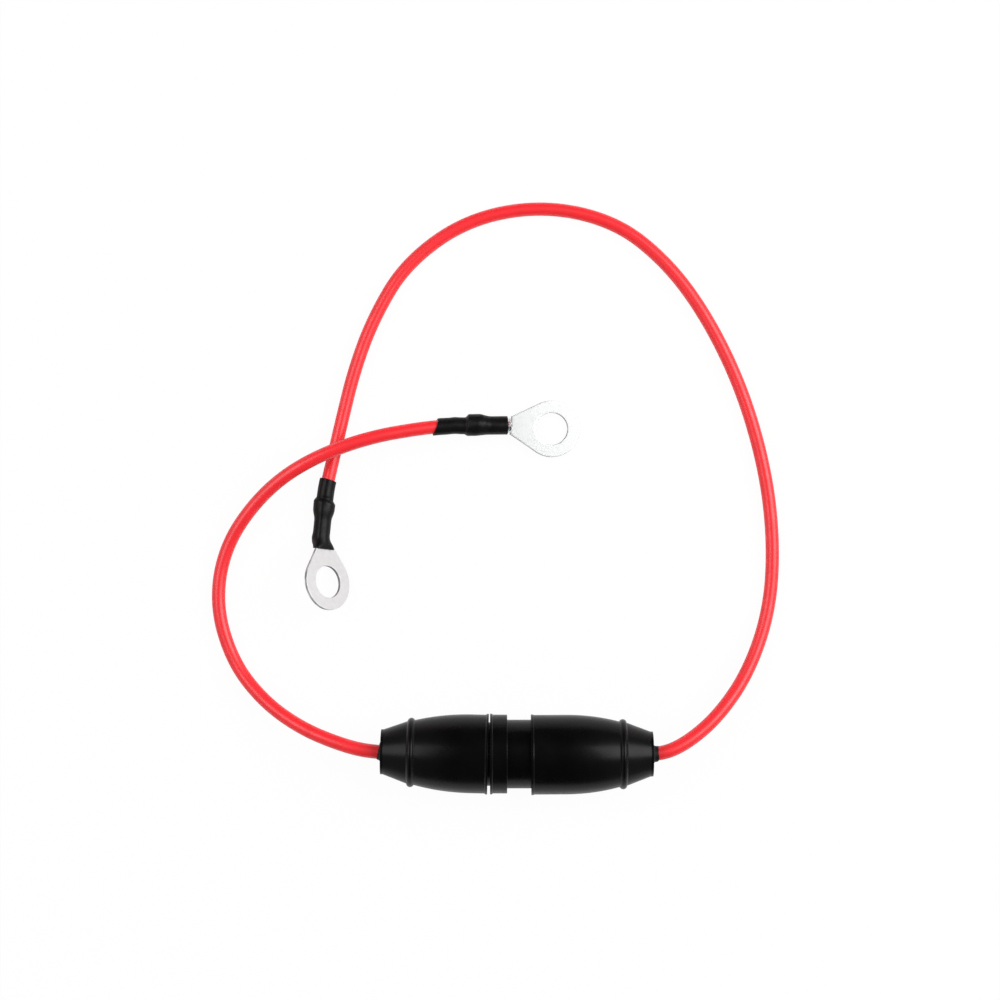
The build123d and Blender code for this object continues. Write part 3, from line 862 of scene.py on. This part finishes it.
def route_curve(name, route):
    """A NURBS curve of one open spline with the route's points as its control points. Its
    radius falls from EXIT_SWELL times the wire's at the holder to the wire's own."""
    curve = bpy.data.curves.new(name, "CURVE")
    curve.dimensions = "3D"
    spline = curve.splines.new("NURBS")
    spline.points.add(len(route) - 1)
    spline.points.foreach_set("co", np.column_stack((route, np.ones(len(route)))).ravel())
    walked = np.linalg.norm(np.diff(route, axis=0, prepend=route[:1]), axis=1).cumsum()
    swell = 1 + (EXIT_SWELL - 1) * (1 - smooth_step(walked, 10 * MM, 45 * MM))
    spline.points.foreach_set("radius", swell)
    spline.order_u = 3
    spline.use_endpoint_u = True
    curve.resolution_u = 24
    return curve


def route_line(route):
    """Dense points along a route's NURBS line, and the distance walked at each."""
    holder = bpy.data.objects.new("route_line", route_curve("route_line", route))
    mesh = bpy.data.meshes.new_from_object(holder)
    points = np.empty(len(mesh.vertices) * 3)
    mesh.vertices.foreach_get("co", points)
    points = points.reshape(-1, 3)
    curve = holder.data
    bpy.data.objects.remove(holder)
    bpy.data.curves.remove(curve)
    bpy.data.meshes.remove(mesh)
    steps = np.linalg.norm(np.diff(points, axis=0), axis=1)
    return points, np.concatenate(([0], np.cumsum(steps)))


def terminal_axes(route, normal):
    """Rows of the terminal's frame at the wire's bared end: along the wire, across it, and from
    the tongue to the barrel."""
    along = np.subtract(route[-1], route[-2])
    along /= np.linalg.norm(along)
    upright = np.asarray(normal) - along * np.dot(along, normal)
    upright /= np.linalg.norm(upright)
    return np.array((along, np.cross(upright, along), upright))


def in_terminal(points, route, normal):
    """Points of the terminal's own frame, carried to the wire's bared end."""
    return np.asarray(route[-1]) + points @ terminal_axes(route, normal)


def wire_piece(name, route, body, node, material):
    """One insulated wire: the route's curve with a round bevel of the wire's radius."""
    diameter = settings("wire_lead_leads").diameter
    curve = route_curve(name, route)
    curve.bevel_depth = diameter / 2
    curve.bevel_resolution = 10
    curve.use_fill_caps = True
    curve.materials.append(material)
    piece = bpy.data.objects.new(name, curve)
    bpy.context.scene.collection.objects.link(piece)
    place(piece, body, "red_insulation", [node])


class WIRELEAD_OT_wires(bpy.types.Operator):
    """Run the two insulated wires from the holder to their terminals"""

    bl_idname = "wire_lead.wires"
    bl_label = "Wires"

    def execute(self, context):
        pvc = extruded_pvc()
        for side, route, body, cord_length in (
            ("left", LEFT_ROUTE, "left_half", LEFT_LENGTH),
            ("right", RIGHT_ROUTE, "root", RIGHT_LENGTH),
        ):
            wire_piece(f"{side}_wire", route, body, f"{side}_lead",
                       pvc)
        return {"FINISHED"}


def ring_surface(skew, bend, route, normal, trim, stretch):
    """The tongue of a terminal, stamped from sheet.

    skew turns it in its own plane at the barrel's mouth, and bend lifts its far end out of that
    plane. trim narrows the neck on each side, and stretch moves the ring away from the neck.
    About the ring's middle, the outline's radius is the ring's, then that of the straight line
    that touches the ring and ends at the neck's corner, then that of the neck's parallel side
    and end. A section goes round the sheet, from the hole's edge to the outline and back, with
    a rounded upper edge, where the punch drew the metal in, and a crisper lower one.
    """
    look = settings("wire_lead_terminals")
    half = look.neck_width / 2 - trim
    reach = look.neck_to_ring + stretch
    back = reach + 0.1 * MM
    neck = math.pi - math.atan2(half, reach)
    corner = math.pi - math.atan2(half, back)
    touch = neck - math.acos(look.ring_radius / math.hypot(reach, half))
    angle = np.unique(np.concatenate((
        np.linspace(0, math.pi, 181), np.linspace(corner, math.pi, 13), (touch, neck),
    )))
    outer = np.where(angle < touch, look.ring_radius, look.ring_radius / np.cos(angle - touch))
    outer = np.where(angle > neck, half / np.maximum(np.sin(angle), 1e-3), outer)
    outer = np.where(angle > corner, back / np.abs(np.cos(angle)), outer)
    angle = np.concatenate((angle, -angle[-2:0:-1]))
    outer = np.concatenate((outer, outer[-2:0:-1]))
    thick = look.sheet / 2
    soft, crisp = 0.1 * MM, 0.05 * MM
    bends = np.linspace(0, math.pi / 2, 6)
    face = np.linspace(0, 1, 14)
    share = np.concatenate((face, np.ones(12), face[::-1], np.zeros(12)))
    inset = np.concatenate((
        soft - 2 * soft * face,
        soft * (np.sin(bends) - 1), crisp * (np.cos(bends) - 1),
        -crisp + 2 * crisp * face,
        crisp * (1 - np.sin(bends)), soft * (1 - np.cos(bends)),
    ))
    height = np.concatenate((
        np.full(14, thick),
        thick - soft * (1 - np.cos(bends)), crisp * (1 - np.sin(bends)) - thick,
        np.full(14, -thick),
        crisp * (1 - np.cos(bends)) - thick, thick - soft * (1 - np.sin(bends)),
    ))
    radius = look.hole_radius + (outer[:, None] - look.hole_radius) * share + inset
    x = reach + radius * np.cos(angle)[:, None]
    y = radius * np.sin(angle)[:, None]
    z = height
    turned = np.stack((x * math.cos(bend) - z * math.sin(bend), y,
                       x * math.sin(bend) + z * math.cos(bend)), axis=-1)
    tongue_height = -look.bore_radius - thick
    placed = np.stack((
        BARREL_MOUTH + turned[..., 0] * math.cos(skew) - turned[..., 1] * math.sin(skew),
        turned[..., 0] * math.sin(skew) + turned[..., 1] * math.cos(skew),
        tongue_height + turned[..., 2],
    ), axis=-1)
    # The cut mark covers the torn wall, which is real, and the outer part of the rounded upper
    # edge, where it is a painted shade line round the ring's outline
    cut = np.broadcast_to(np.abs(height) < thick - 0.1 * soft, radius.shape)
    return closed_surface(in_terminal(placed, route, normal)), cut.astype(float)


def barrel_surface(route, normal):
    """The barrel of a terminal, rolled from the same sheet, with a seam opposite the tongue.

    A point at angle a from the tongue's side has y = r sin a and z = -r cos a. Its section runs
    from the wire's end to a mouth that leans back by a fixed slope over the height, and each
    end at the seam closes on a pole.
    """
    look = settings("wire_lead_terminals")
    inner = look.bore_radius
    outer = inner + look.sheet
    lean = 1.1 * MM / (2 * inner)
    seam = 0.125 * MM / outer
    angle = np.linspace(seam - math.pi, math.pi - seam, 72)[:, None]
    share = np.linspace(0, 1, 12)
    edge = np.linspace(0, 1, 4)
    along = np.concatenate((share, np.ones(4), share[::-1], np.zeros(4)))
    radius = np.concatenate((np.full(12, outer), outer + (inner - outer) * edge,
                             np.full(12, inner), inner + (outer - inner) * edge))
    y = radius * np.sin(angle)
    z = -radius * np.cos(angle)
    end = BARREL_MOUTH - (z + inner) * lean
    x = BARREL_START + (end - BARREL_START) * along
    grid = np.stack((x, y, z), axis=-1)
    first = np.repeat(grid[:1].mean(axis=1, keepdims=True), grid.shape[1], axis=1)
    last = np.repeat(grid[-1:].mean(axis=1, keepdims=True), grid.shape[1], axis=1)
    grid = np.concatenate((first, grid, last))
    mouth_mark = np.tile(np.concatenate((np.zeros(12), np.ones(4), np.zeros(16))), len(grid))
    return closed_surface(in_terminal(grid, route, normal), wrap_rows=False), mouth_mark


class WIRELEAD_OT_ring_terminals(bpy.types.Operator):
    """Stamp and roll the two ring terminals"""

    bl_idname = "wire_lead.ring_terminals"
    bl_label = "Ring terminals"

    def execute(self, context):
        look = settings("wire_lead_terminals")
        tin = plated_metal("matt_tin_plate", tuple(look.tin), linear("#dbdcdd"), 0.38, 1.4 * MM)
        for side, skew, bend, trim, stretch, route, normal, body in (
            ("left", -5.39, 0.0, 0.0, 0.3 * MM, LEFT_ROUTE, LEFT_NORMAL, "left_half"),
            ("right", -2.45, -12.1, 0.3 * MM, 0.0, RIGHT_ROUTE, RIGHT_NORMAL, "root"),
        ):
            ring, cut = ring_surface(
                math.radians(skew), math.radians(bend), route, normal, trim, stretch
            )
            barrel, mouth = barrel_surface(route, normal)
            # The cut mark darkens the torn faces and, on the rings, paints a shade line along the
            # rounded upper edge
            cut_and_shade_marks = np.concatenate((cut.ravel(), mouth))
            make_piece(f"{side}_ring", [ring, barrel], tin, body, "tinned_brass",
                       [f"ring_terminal_{side}"], attribute=("cut", cut_and_shade_marks), sharp=math.radians(40))
        return {"FINISHED"}


def strand_surface(angle, offset, strand_length, lay, rng):
    """One strand of the bundle: a round tube that twists slowly about the wire's axis and ends
    in a small dome at each end, closed on a pole."""
    radius = settings("wire_lead_leads").strand_diameter / 2
    body = np.linspace(0, 1, 26)
    dome = np.linspace(0.3, math.pi / 2, 5)
    dome_length = 0.35 * radius
    x = np.concatenate(((0, 0), body * (strand_length - dome_length),
                        strand_length - dome_length * (1 - np.sin(dome))))
    size = np.concatenate(((0, 0.9), np.ones(26), np.cos(dome)))
    turn = angle + x / lay * FULL_TURN
    loose = 0.1 * rng.uniform(-1, 1) * smooth_step(x, 0.6 * strand_length, strand_length)
    spread = offset * (1 + loose)
    around = np.arange(14) / 14 * FULL_TURN
    grid = np.empty((len(x), 14, 3))
    grid[..., 0] = x[:, None]
    grid[..., 1] = (spread * np.cos(turn))[:, None] + radius * size[:, None] * np.cos(around)
    grid[..., 2] = (spread * np.sin(turn))[:, None] + radius * size[:, None] * np.sin(around)
    return grid


class WIRELEAD_OT_terminal_strands(bpy.types.Operator):
    """Twist the bared strands in the two terminals and solder the left ones"""

    bl_idname = "wire_lead.terminal_strands"
    bl_label = "Terminal strands"

    def execute(self, context):
        look = settings("wire_lead_leads")
        copper = plated_metal(
            "drawn_bare_copper", tuple(look.copper), linear("#a8512c"), 0.3, 0.8 * MM
        )
        solder = plated_metal(
            "flowed_tin_solder", linear("#c4c5c8"), linear("#808286"), 0.14, 0.5 * MM
        )
        for side, route, normal, body, seed in (
            ("left", LEFT_ROUTE, LEFT_NORMAL, "left_half", 5),
            ("right", RIGHT_ROUTE, RIGHT_NORMAL, "root", 6),
        ):
            rng = np.random.default_rng(seed)
            angles = np.concatenate(((0,), np.arange(6) / 6 * FULL_TURN))
            offsets = np.concatenate(((0,), np.full(6, 0.6 * MM)))
            surfaces = []
            for angle, offset in zip(angles, offsets):
                strand_length = 9.0 * MM + rng.uniform(-0.2, 0.25) * MM
                grid = strand_surface(angle, offset, strand_length, 40 * MM, rng)
                surfaces.append(closed_surface(in_terminal(grid, route, normal), wrap_rows=False))
            make_piece(f"{side}_terminal_strands", surfaces, copper, body, "bare_copper",
                       [f"terminal_strands_{side}"])
        latitude = np.linspace(0, math.pi, 40)[:, None]
        longitude = (np.arange(64) / 64 * FULL_TURN)[None, :]
        # The solder is a ball pushed in and out by two waves over its latitude and longitude
        waves = np.cos(3 * longitude + 1.0) * np.cos(2 * latitude)
        waves = waves + np.cos(5 * longitude + 4 * latitude)
        lumps = 1 + 0.16 * np.sin(latitude) * waves
        ball = np.stack(np.broadcast_arrays(
            np.sin(latitude) * np.cos(longitude),
            np.sin(latitude) * np.sin(longitude),
            np.cos(latitude),
        ), axis=-1)
        middle = MM * np.array((8.85, -0.3, 0.05))
        radii = MM * np.array((0.85, 0.9, 0.95))
        grid = middle + radii * lumps[..., None] * ball
        surface = closed_surface(in_terminal(grid, LEFT_ROUTE, LEFT_NORMAL), wrap_rows=False)
        make_piece("left_solder", [surface], solder, "left_half", "tinned_brass")
        return {"FINISHED"}


def sleeve_frame(route, normal, s):
    """Middle, sideways and upward directions at distances s along a wire and its terminal.

    Behind the bared end (s below 0) the middle follows the wire's own line; past it, the
    terminal's axis. Sideways is level and upward is square to it and to the wire.
    """
    points, walked = route_line(route)
    along = terminal_axes(route, normal)[0]
    back = walked[-1] + np.minimum(s, 0)
    middle = np.column_stack([np.interp(back, walked, points[:, axis]) for axis in range(3)])
    middle += np.maximum(s, 0)[:, None] * along
    tangent = np.gradient(middle, s, axis=0)
    tangent /= np.linalg.norm(tangent, axis=1)[:, None]
    sideways = np.cross((0, 0, 1), tangent)
    sideways /= np.linalg.norm(sideways, axis=1)[:, None]
    return middle, sideways, np.cross(tangent, sideways)


def sleeve_surface(route, normal, start, end, radius_at, slant, flat=None):
    """A shrunk sleeve: its outer skin from back to front and its inner skin back again.

    radius_at gives the outer radius at a distance along the wire and an angle that runs from
    sideways (0) over the top (a quarter turn). slant pushes the back end along by the sine and
    cosine of the angle. flat is the half width and half thickness of the oblong that the skin
    goes over to on the tongue: a superellipse of the fourth power about the tongue's middle,
    reached first on the tongue's side and last on the far side, behind the barrel's mouth.
    """
    wall = settings("wire_lead_shrink").wall
    share = np.linspace(0, 1, 150)
    rim = np.linspace(0, math.pi, 7)[1:-1]
    along = np.concatenate((share, np.ones(5), share[::-1], np.zeros(5)))
    depth = np.concatenate((np.zeros(150), 0.5 - 0.5 * np.cos(rim), np.ones(150),
                            0.5 + 0.5 * np.cos(rim)))
    overhang = np.concatenate((np.zeros(150), np.sin(rim), np.zeros(150), -np.sin(rim)))
    s = start + (end - start) * along + 0.05 * MM * overhang
    angle = (np.arange(128) / 128 * FULL_TURN)[None, :]
    unique, where = np.unique(np.round(s, 7), return_inverse=True)
    middles, sides, ups = sleeve_frame(route, normal, unique)
    middle, sideways, upward = middles[where], sides[where], ups[where]
    skin = depth[:, None] * wall
    radius = radius_at(s[:, None], angle) - skin
    drop = 0
    if flat:
        look = settings("wire_lead_terminals")
        across, upright = terminal_axes(route, normal)[1:]
        turn = math.atan2(np.dot(across, ups[-1]), np.dot(across, sides[-1]))
        far = (np.cos(angle) * np.dot(upright, sides[-1])
               + np.sin(angle) * np.dot(upright, ups[-1]))
        share = smooth_step(s[:, None] - 1.3 * MM * (far + 1), 7.2 * MM, 10.0 * MM)
        reach = (np.cos(angle - turn) / flat[0]) ** 4 + (np.sin(angle - turn) / flat[1]) ** 4
        radius = radius + (reach**-0.25 - skin - radius) * share
        drop = -(look.bore_radius + look.sheet / 2) * share[..., None] * upright
    tangent = np.cross(sideways, upward)
    push = smooth_step(s, start + 6 * MM, start)[:, None] * (
        slant[0] * np.cos(angle) + slant[1] * np.sin(angle)
    )
    grid = (
        middle[:, None, :]
        + (radius * np.cos(angle))[..., None] * sideways[:, None, :]
        + (radius * np.sin(angle))[..., None] * upward[:, None, :]
        + push[..., None] * tangent[:, None, :]
        + drop
    )
    round_mark = np.broadcast_to(angle / FULL_TURN, radius.shape)
    return closed_surface(grid), round_mark


def left_sleeve_radius(s, angle):
    """Outer radius of the left sleeve: snug on the wire, swollen over the end of the insulation
    with a steep back, and snug again on the barrel, with small creases and dimples."""
    look = settings("wire_lead_shrink")
    on_wire = settings("wire_lead_leads").diameter / 2 + look.wall
    on_barrel = 2.23 * MM
    ends = on_wire + (on_barrel - on_wire) * smooth_step(s, -1 * MM, 3 * MM)
    lean = 0.2 * MM * np.cos(angle)
    rise = smooth_step(s - lean, -1.9 * MM, -0.95 * MM)
    fall = 1 - smooth_step(s - 2 * lean, 0.9 * MM, 4.2 * MM)
    radius = ends + (look.bulge_radius - ends) * rise * fall
    uneven = 0.17 * MM * np.cos(angle) + ripple(angle, (2, 3, 5), 0.05 * MM, 21)
    radius = radius + uneven * rise * fall
    # Distance along in millimetres, angle, half width each way and height in millimetres
    creases = (
        (-1.5, 1.0, 0.4, 0.4, 0.12), (-1.5, 2.3, 0.4, 0.3, 0.12), (0.6, 2.0, 0.8, 0.5, -0.05),
        (2.3, 0.7, 0.35, 0.25, 0.08),
        (3.5, 1.45, 0.6, 0.4, 0.06), (2.1, 0.3, 0.6, 0.6, 0.06), (6.2, 1.8, 1.4, 0.5, 0.03),
        (-1.0, 1.13, 0.28, 0.12, 0.06), (1.2, 0.75, 0.28, 0.12, 0.06),
        (2.5, 1.23, 0.28, 0.12, 0.06), (-1.1, 1.75, 0.28, 0.12, 0.06),
        (-4.3, 0.0, 1.2, 1.0, 0.13), (-4.3, 3.1, 1.2, 1.0, -0.13), (-5.0, 1.2, 1.6, 0.4, 0.03),
    )
    for place, turn, length_wide, turn_wide, height in creases:
        swing = (angle - turn + math.pi) % FULL_TURN - math.pi
        crease = hill(s, place * MM, length_wide * MM) * hill(swing, 0, turn_wide)
        radius = radius + height * MM * crease
    return radius


def right_sleeve_radius(s, angle):
    """Outer radius of the right sleeve: a step over the end of the insulation that leans to one
    side, flats and a ridge where it cooled on the barrel, and a flattened flare on the tongue."""
    look = settings("wire_lead_shrink")
    on_wire = settings("wire_lead_leads").diameter / 2 + look.wall
    on_barrel = 2.1 * MM
    lean = -0.35 * MM * np.cos(angle)
    ends = on_wire + (on_barrel - on_wire) * smooth_step(s, -1 * MM, 3 * MM)
    rise = smooth_step(s + lean, -1.15 * MM, 0.0)
    fall = 1 - smooth_step(s, 1.5 * MM, 4.2 * MM)
    crown = 0.45 + 0.55 * np.cos(angle) ** 2
    radius = ends + (look.bulge_radius - ends) * rise * fall * crown
    swing = (angle - 1.75 + math.pi) % FULL_TURN - math.pi
    radius = radius + 0.1 * MM * hill(swing, 0, 0.25) * smooth_step(s, -0.5 * MM, 1.0 * MM)
    radius = radius - 0.06 * MM * np.cos(2 * (angle - 0.4)) * smooth_step(s, 0.0, 2.0 * MM)
    radius = radius - 0.14 * MM * hill(s, -1.1 * MM, 0.4 * MM) * hill(swing, -0.1, 0.9)
    radius = radius + 0.16 * MM * hill(s, 8.4 * MM, 0.9 * MM) * hill(angle, 3.0, 0.8)
    return radius + ripple(angle, (2, 3, 5), 0.03 * MM, 31)


class WIRELEAD_OT_shrink_sleeves(bpy.types.Operator):
    """Shrink the two sleeves on to the wires' ends"""

    bl_idname = "wire_lead.shrink_sleeves"
    bl_label = "Shrink sleeves"

    def execute(self, context):
        polyolefin = shrunk_polyolefin()
        left, left_round = sleeve_surface(
            LEFT_ROUTE, LEFT_NORMAL, -8.9 * MM, 8.4 * MM, left_sleeve_radius, (0.75 * MM, 0.1 * MM)
        )
        make_piece("left_shrink_sleeve", [left], polyolefin, "left_half", "heat_shrink_tube",
                   ["heat_shrink_left"], attribute=("round", left_round))
        right, right_round = sleeve_surface(
            RIGHT_ROUTE, RIGHT_NORMAL, -5.6 * MM, 11.0 * MM, right_sleeve_radius,
            (0.08 * MM, -0.2 * MM), (2.86 * MM, 1.1 * MM)
        )
        make_piece("right_shrink_sleeve", [right], polyolefin, "root", "heat_shrink_tube",
                   ["heat_shrink_right"], attribute=("round", right_round))
        return {"FINISHED"}


class WIRELEAD_OT_inner_parts(bpy.types.Operator):
    """Finish the fuse, the contacts and the springs inside the holder"""

    bl_idname = "wire_lead.inner_parts"
    bl_label = "Inner parts"

    def execute(self, context):
        nickel = plated_metal(
            "nickel_plated_brass", linear("#c9c6bd"), linear("#a39d90"), 0.22, 1.2 * MM
        )
        brass = plated_metal("pressed_brass", linear("#c7a45a"), linear("#9c7c3c"), 0.3, 1.5 * MM)
        steel = plated_metal(
            "drawn_spring_steel", linear("#b4b6b9"), linear("#8c8e92"), 0.25, 1.0 * MM
        )
        zinc = plated_metal("drawn_fuse_wire", linear("#bcbcb8"), linear("#97978f"), 0.35, 0.4 * MM)
        copper = bpy.data.materials["drawn_bare_copper"]
        finishes = {
            "fuse_tube": drawn_glass(),
            "fuse_element": zinc,
            "fuse_cap_left": nickel,
            "fuse_cap_right": nickel,
            "contact_cup_left": brass,
            "contact_cup_right": brass,
            "contact_spring_left": steel,
            "contact_spring_right": steel,
            "holder_strands_left": copper,
            "holder_strands_right": copper,
        }
        for node, material in finishes.items():
            for material_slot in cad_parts[node].material_slots:
                material_slot.material = material
        return {"FINISHED"}


# Studio

def white_table(look):
    """Matt white laminate: plain white where the camera sees it, with a share of its real
    shading so that the part keeps its shadow. Reflections and glass see the shading alone."""
    material, tree = new_material("matt_white_table")
    camera_ray = add_node(tree, "ShaderNodeLightPath").outputs["Is Camera Ray"]
    seen = add_node(tree, "ShaderNodeMath", (camera_ray, 0.96), operation="MULTIPLY")
    matt = add_node(tree, "ShaderNodeBsdfDiffuse", {"Color": tuple(look.floor)})
    white = add_node(tree, "ShaderNodeEmission", {"Color": (1, 1, 1, 1), "Strength": 1.0})
    surface = add_node(tree, "ShaderNodeMixShader", (seen, matt, white))
    add_node(tree, "ShaderNodeOutputMaterial", {"Surface": surface})
    return material


def studio_world(look):
    """White walls to the left and right of a dark room: white to the camera, the walls' gradient
    to metal and plastic, and an even fill to matt surfaces."""
    world = bpy.data.worlds.new("white_studio")
    world.use_nodes = True
    tree = world.node_tree
    tree.nodes.clear()
    rays = add_node(tree, "ShaderNodeLightPath").outputs
    direction = add_node(tree, "ShaderNodeTexCoord").outputs["Generated"]
    side = add_node(tree, "ShaderNodeSeparateXYZ", {"Vector": direction}).outputs["X"]
    aside = add_node(tree, "ShaderNodeMath", (side,), operation="ABSOLUTE")
    walls = add_node(tree, "ShaderNodeMapRange", (aside, 0.15, 0.8, 0.07, 0.62))
    strength = add_node(tree, "ShaderNodeMix", {
        0: rays["Is Glossy Ray"], 2: look.sky_strength, 3: walls,
    })
    for ray in ("Is Camera Ray", "Is Transmission Ray"):
        strength = add_node(tree, "ShaderNodeMath", (strength, rays[ray]), operation="MAXIMUM")
    light = add_node(tree, "ShaderNodeBackground", {"Color": (1, 1, 1, 1), "Strength": strength})
    add_node(tree, "ShaderNodeOutputWorld", {"Surface": light})
    bpy.context.scene.world = world


def soft_box(name, place, target, width, height, power):
    """A rectangular area lamp at a place, turned to a target: its -Z axis points there."""
    lamp = bpy.data.lights.new(name, "AREA")
    lamp.shape = "RECTANGLE"
    lamp.size = width
    lamp.size_y = height
    lamp.energy = power
    box = bpy.data.objects.new(name, lamp)
    box.location = place
    aim = np.subtract(target, place)
    aim /= np.linalg.norm(aim)
    box.rotation_euler = (math.acos(-aim[2]), 0, math.atan2(aim[1], aim[0]) - math.pi / 2)
    bpy.context.scene.collection.objects.link(box)


class WIRELEAD_OT_studio(bpy.types.Operator):
    """Set up the table, the lamps and the camera"""

    bl_idname = "wire_lead.studio"
    bl_label = "Studio"

    def execute(self, context):
        look = settings("wire_lead_studio")
        scene = context.scene
        scene.view_settings.view_transform = "Standard"
        half = 1.6
        mesh = bpy.data.meshes.new("table")
        corners = ((-half, -half, 0), (half, -half, 0), (half, half, 0), (-half, half, 0))
        mesh.from_pydata(corners, [], [(0, 1, 2, 3)])
        mesh.materials.append(white_table(look))
        table = bpy.data.objects.new("table", mesh)
        scene.collection.objects.link(table)
        studio_world(look)
        target = np.array((look.camera_x, look.camera_y, 0))
        right = target + 0.9 * np.array((0.67, 0.18, 0.72))
        left = target + 0.9 * np.array((-0.63, 0.16, 0.76))
        soft_box("right_soft_box", right, target, 0.6, 0.7, look.lamp_power)
        soft_box("left_soft_box", left, target, 0.55, 0.55, 0.46 * look.lamp_power)
        camera = bpy.data.cameras.new("camera")
        camera.lens = look.focal_length
        camera.sensor_width = 36
        camera.clip_start = 0.01
        stand = bpy.data.objects.new("camera", camera)
        stand.location = (look.camera_x, look.camera_y, look.camera_height)
        scene.collection.objects.link(stand)
        scene.camera = stand
        return {"FINISHED"}


class WIRELEAD_PT_panel(bpy.types.Panel):
    """The settings and steps of the fused wire lead"""

    bl_label = "Fused wire lead"
    bl_idname = "WIRELEAD_PT_panel"
    bl_space_type = "VIEW_3D"
    bl_region_type = "UI"
    bl_category = "Wire Lead"

    def draw(self, context):
        for group in GROUPS:
            box = self.layout.box()
            box.label(text=group[len("wire_lead_"):].capitalize())
            values = getattr(context.scene, group)
            for name in values.bl_rna.properties.keys():
                if name not in {"rna_type", "name"}:
                    box.prop(values, name)
        for step in OPERATORS:
            self.layout.operator(step.bl_idname)


GROUPS = {
    "wire_lead_holder": HolderSettings,
    "wire_lead_leads": LeadSettings,
    "wire_lead_terminals": TerminalSettings,
    "wire_lead_shrink": ShrinkSettings,
    "wire_lead_studio": StudioSettings,
}
OPERATORS = (
    WIRELEAD_OT_studio,
    WIRELEAD_OT_shells,
    WIRELEAD_OT_centre_sleeve,
    WIRELEAD_OT_wire_sleeves,
    WIRELEAD_OT_ring_terminals,
    WIRELEAD_OT_terminal_strands,
    WIRELEAD_OT_shrink_sleeves,
    WIRELEAD_OT_wires,
    WIRELEAD_OT_inner_parts,
)


def register():
    """Register the settings, the steps and the panel."""
    for name, group in GROUPS.items():
        bpy.utils.register_class(group)
        setattr(bpy.types.Scene, name, PointerProperty(type=group))
    for step in (*OPERATORS, WIRELEAD_PT_panel):
        bpy.utils.register_class(step)


def unregister():
    """Take the panel, the steps and the settings out again."""
    for step in reversed((*OPERATORS, WIRELEAD_PT_panel)):
        bpy.utils.unregister_class(step)
    for name, group in GROUPS.items():
        delattr(bpy.types.Scene, name)
        bpy.utils.unregister_class(group)


def main():
    """Register the add-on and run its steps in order."""
    register()
    for step in OPERATORS:
        group, name = step.bl_idname.split(".")
        getattr(getattr(bpy.ops, group), name)()


if __name__ == "__main__":
    main()
